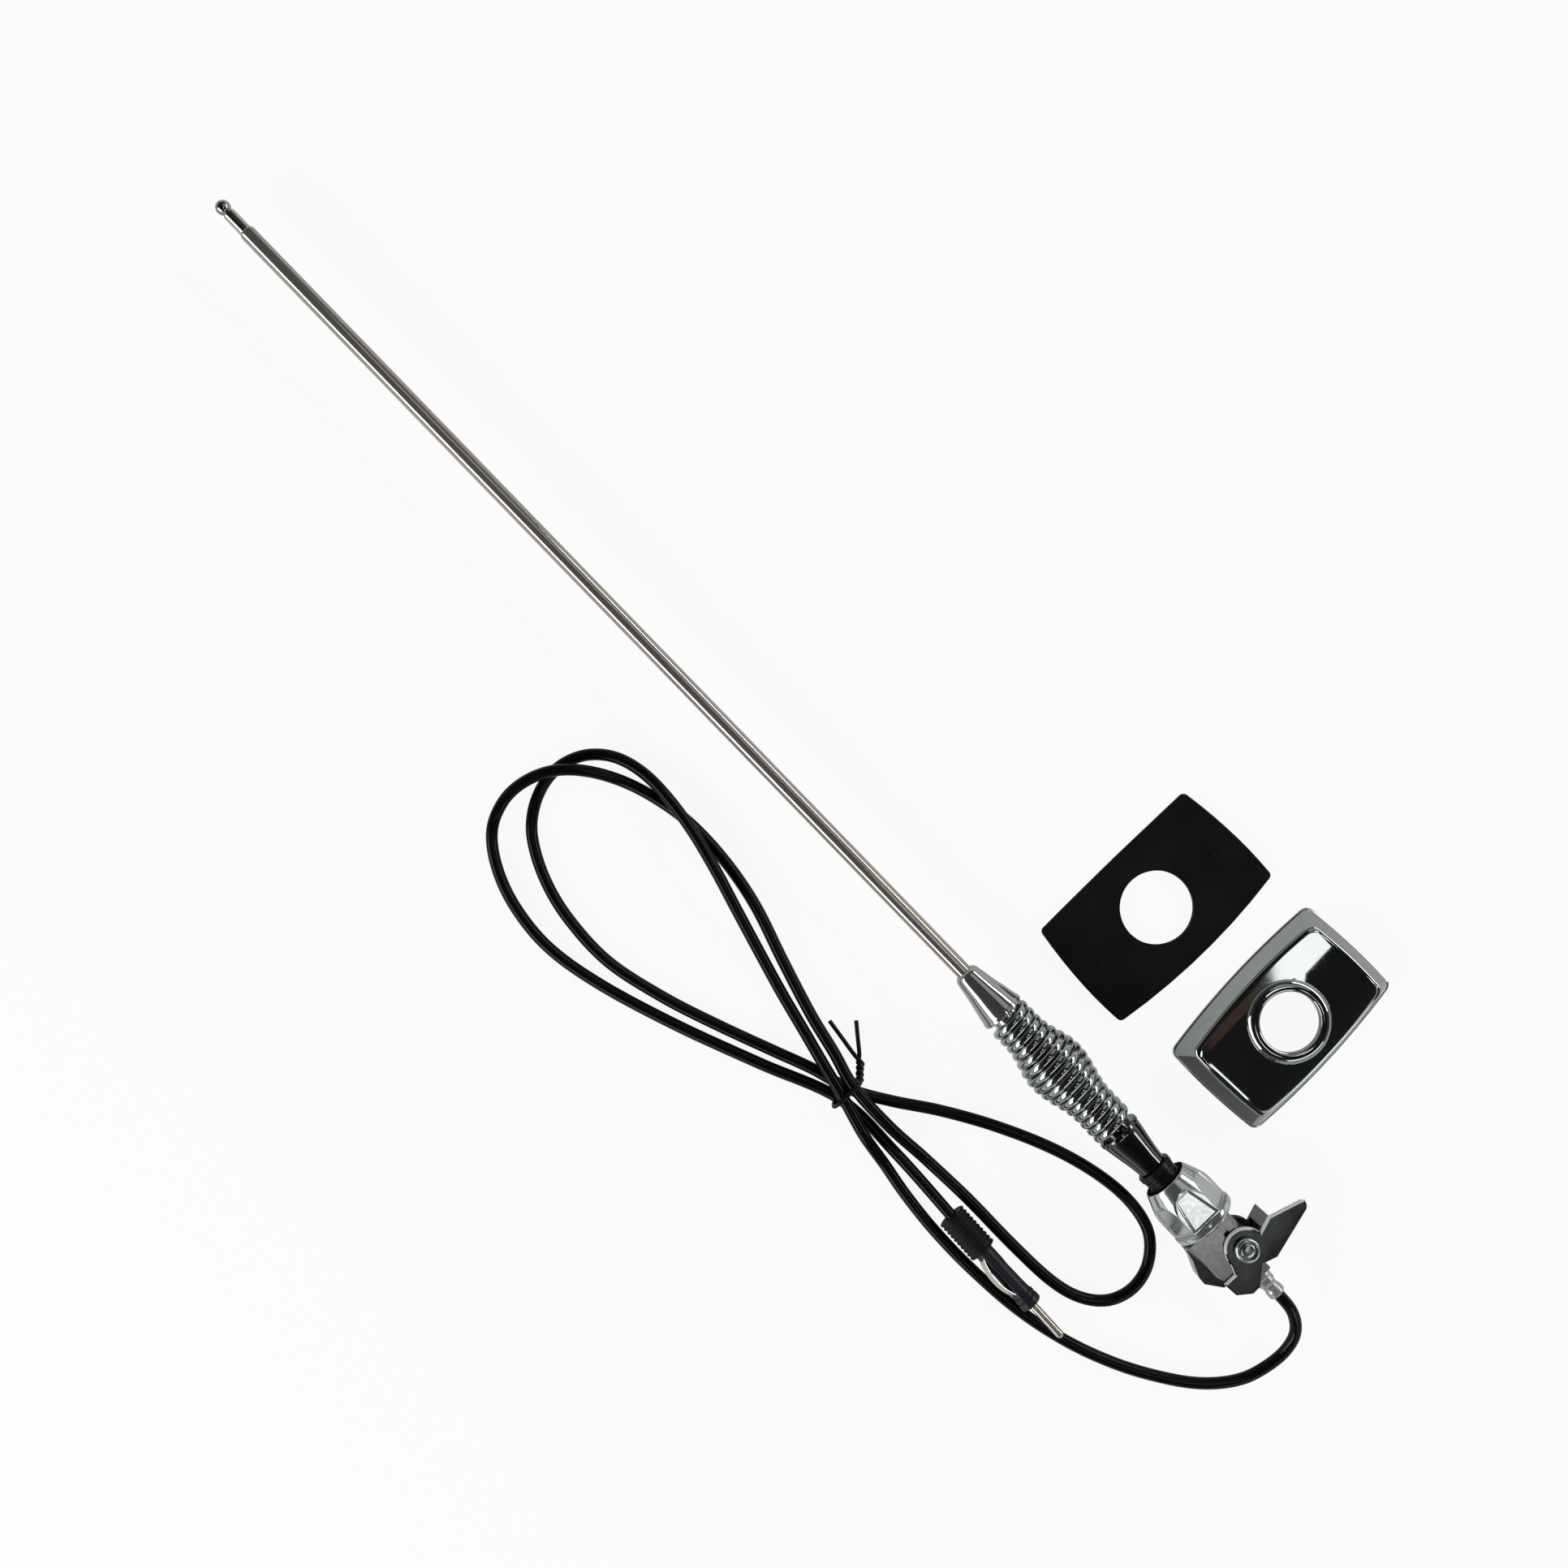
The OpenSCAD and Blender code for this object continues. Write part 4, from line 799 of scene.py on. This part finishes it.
# %% Tie
WRAP_STEPS, TWIST_STEPS, HALF_TURNS = 24, 12, 3
TIE_RADIUS, TIE_LOWEST, TWIST_RADIUS = 0.85, 0.9, 0.74
TWIST = [(127.4, 56.9, 4.2), (131.6, 52.4, 2.2)]
ENDS = [(151, 49.8, TIE_LOWEST), (144, 42.4, TIE_LOWEST)]
for half, end in enumerate(ENDS):
    side = 0.5 if half else -0.5
    begin, stop = Vector(TWIST[0]), Vector(TWIST[1])
    way = math.copysign(math.pi, side)
    path = [wrap_point(math.pi + way * k / WRAP_STEPS, begin.x + side * (1 - k / WRAP_STEPS))
            for k in range(WRAP_STEPS, 0, -1)]
    for k in range(TWIST_STEPS + 1):
        a = math.pi * half + math.pi * HALF_TURNS * k / TWIST_STEPS
        away = Vector((math.cos(a), math.cos(a) / 2, math.sin(a)))
        path.append(begin.lerp(stop, k / TWIST_STEPS) + TWIST_RADIUS * away)
    last = Vector(end)
    path += [stop.lerp(last, 0.2) + Vector((0, 0, 0.2)), stop.lerp(last, 0.6), last]
    wire = smooth_curve("tie_half_%d" % half, path, TIE_RADIUS, table_line, 12, TIE_LOWEST)
    wire.data.materials.append(tie_black)
    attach(wire, "base")
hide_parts("twist_tie")

# %% [markdown]
# ## Crimp and plug
# The crimp is a thin tube pressed in rings on the lead. The plug is turned too, but
# about its own line: ribbed boot, barrel, collar, pin, and a sprung earth leaf. The
# boot's ribs could be a bump, but they show against the white table, so a loop puts
# them in its profile.

# %% Crimp
turned("crimp_sleeve", [
    (-37.7, 2.36), (-37.7, 3.0), (-37.2, 3.4), (-35.1, 3.4), (-34.3, 3.0), (-32.5, 3.0),
    (-31.5, 3.6), (-29.3, 3.7), (-28.7, 4.1), (-24, 4.1), (-24, 2.36)],
    crimp_steel, "base", ["crimp_ferrule"], edge=0.15, closed=True,
    place=line_at(0, -0.6, 0))

# %% The plug's boot
RIBS, BOOT, BOOT_R, GROOVE = 9, 17.5, 5.6, 0.4
rib = BOOT / (2 * RIBS + 1)
ribbed = [(0, 2.5)]
for k in range(RIBS + 1):
    at = 2 * rib * k
    ribbed += [(at, BOOT_R - GROOVE), (at + 0.2, BOOT_R), (at + rib * 0.85, BOOT_R)]
    if k < RIBS:
        ribbed += [(at + rib, BOOT_R - GROOVE), (at + 2 * rib, BOOT_R - GROOVE)]
turned("ribbed_boot", ribbed + [(BOOT, BOOT_R - 0.3), (BOOT, 3.06), (11.5, 3.06), (11.5, 0),
                                (1.2, 0), (1.2, 2.5)],
       boot_black, "base", ["plug_boot"], edge=0.08, place=plug_line)

# %% Plug
turned("plug_barrel_shell", [
    (12, 0), (12, 3.0), (17.55, 3.0), (17.55, 3.4), (18.1, 3.6), (24.5, 3.6), (27.5, 3.4),
    (36.5, 3.6), (39.5, 3.8), (39.5, 1.15), (31.5, 1.15), (31.5, 0)],
    barrel_black, "base", ["plug_barrel"], edge=0.12, place=plug_line)
turned("plug_end_collar", [
    (39.55, 1.15), (39.55, 3.8), (39.95, 4.2), (41.35, 4.2), (41.55, 3.8), (41.85, 3.8),
    (42.15, 4.3), (44.45, 4.3), (45.05, 3.8), (45.05, 1.15)],
    barrel_black, "base", ["plug_collar"], edge=0.12, closed=True, place=plug_line)
turned("plug_contact_pin", [
    (32, 0), (32, 1.1), (45.1, 1.1), (45.1, 1.6), (60.15, 1.6), (60.85, 1.3), (61.55, 0.7),
    (61.55, 0)], pin_nickel, "base", ["plug_pin"], edge=0.1, place=plug_line)
softened("earth_leaf", "earth_spring", 0.06, leaf_nickel, angle=50)

# %% [markdown]
# ## Hidden pieces
# Brass shoes, the braid, the contact wire, its sleeve and the washers are simple
# solids whose CAD shape is right. New pieces would look no better, because they hardly
# show. They stay, and only take their finish.

# %% Finishes on the CAD pieces that stay
KEPT = {"top_shoe": drawn_brass, "mid_shoe": drawn_brass, "braid": braid_tin,
        "contact_wire": tinned_copper, "wire_sleeve": white_sleeve, "claw_washers": bright_zinc}
for node, material in KEPT.items():
    frame["nodes"][node].data.materials.clear()
    frame["nodes"][node].data.materials.append(material)
print("finished", len(KEPT), "hidden pieces")

# %% Update the scene
bpy.context.view_layer.update()
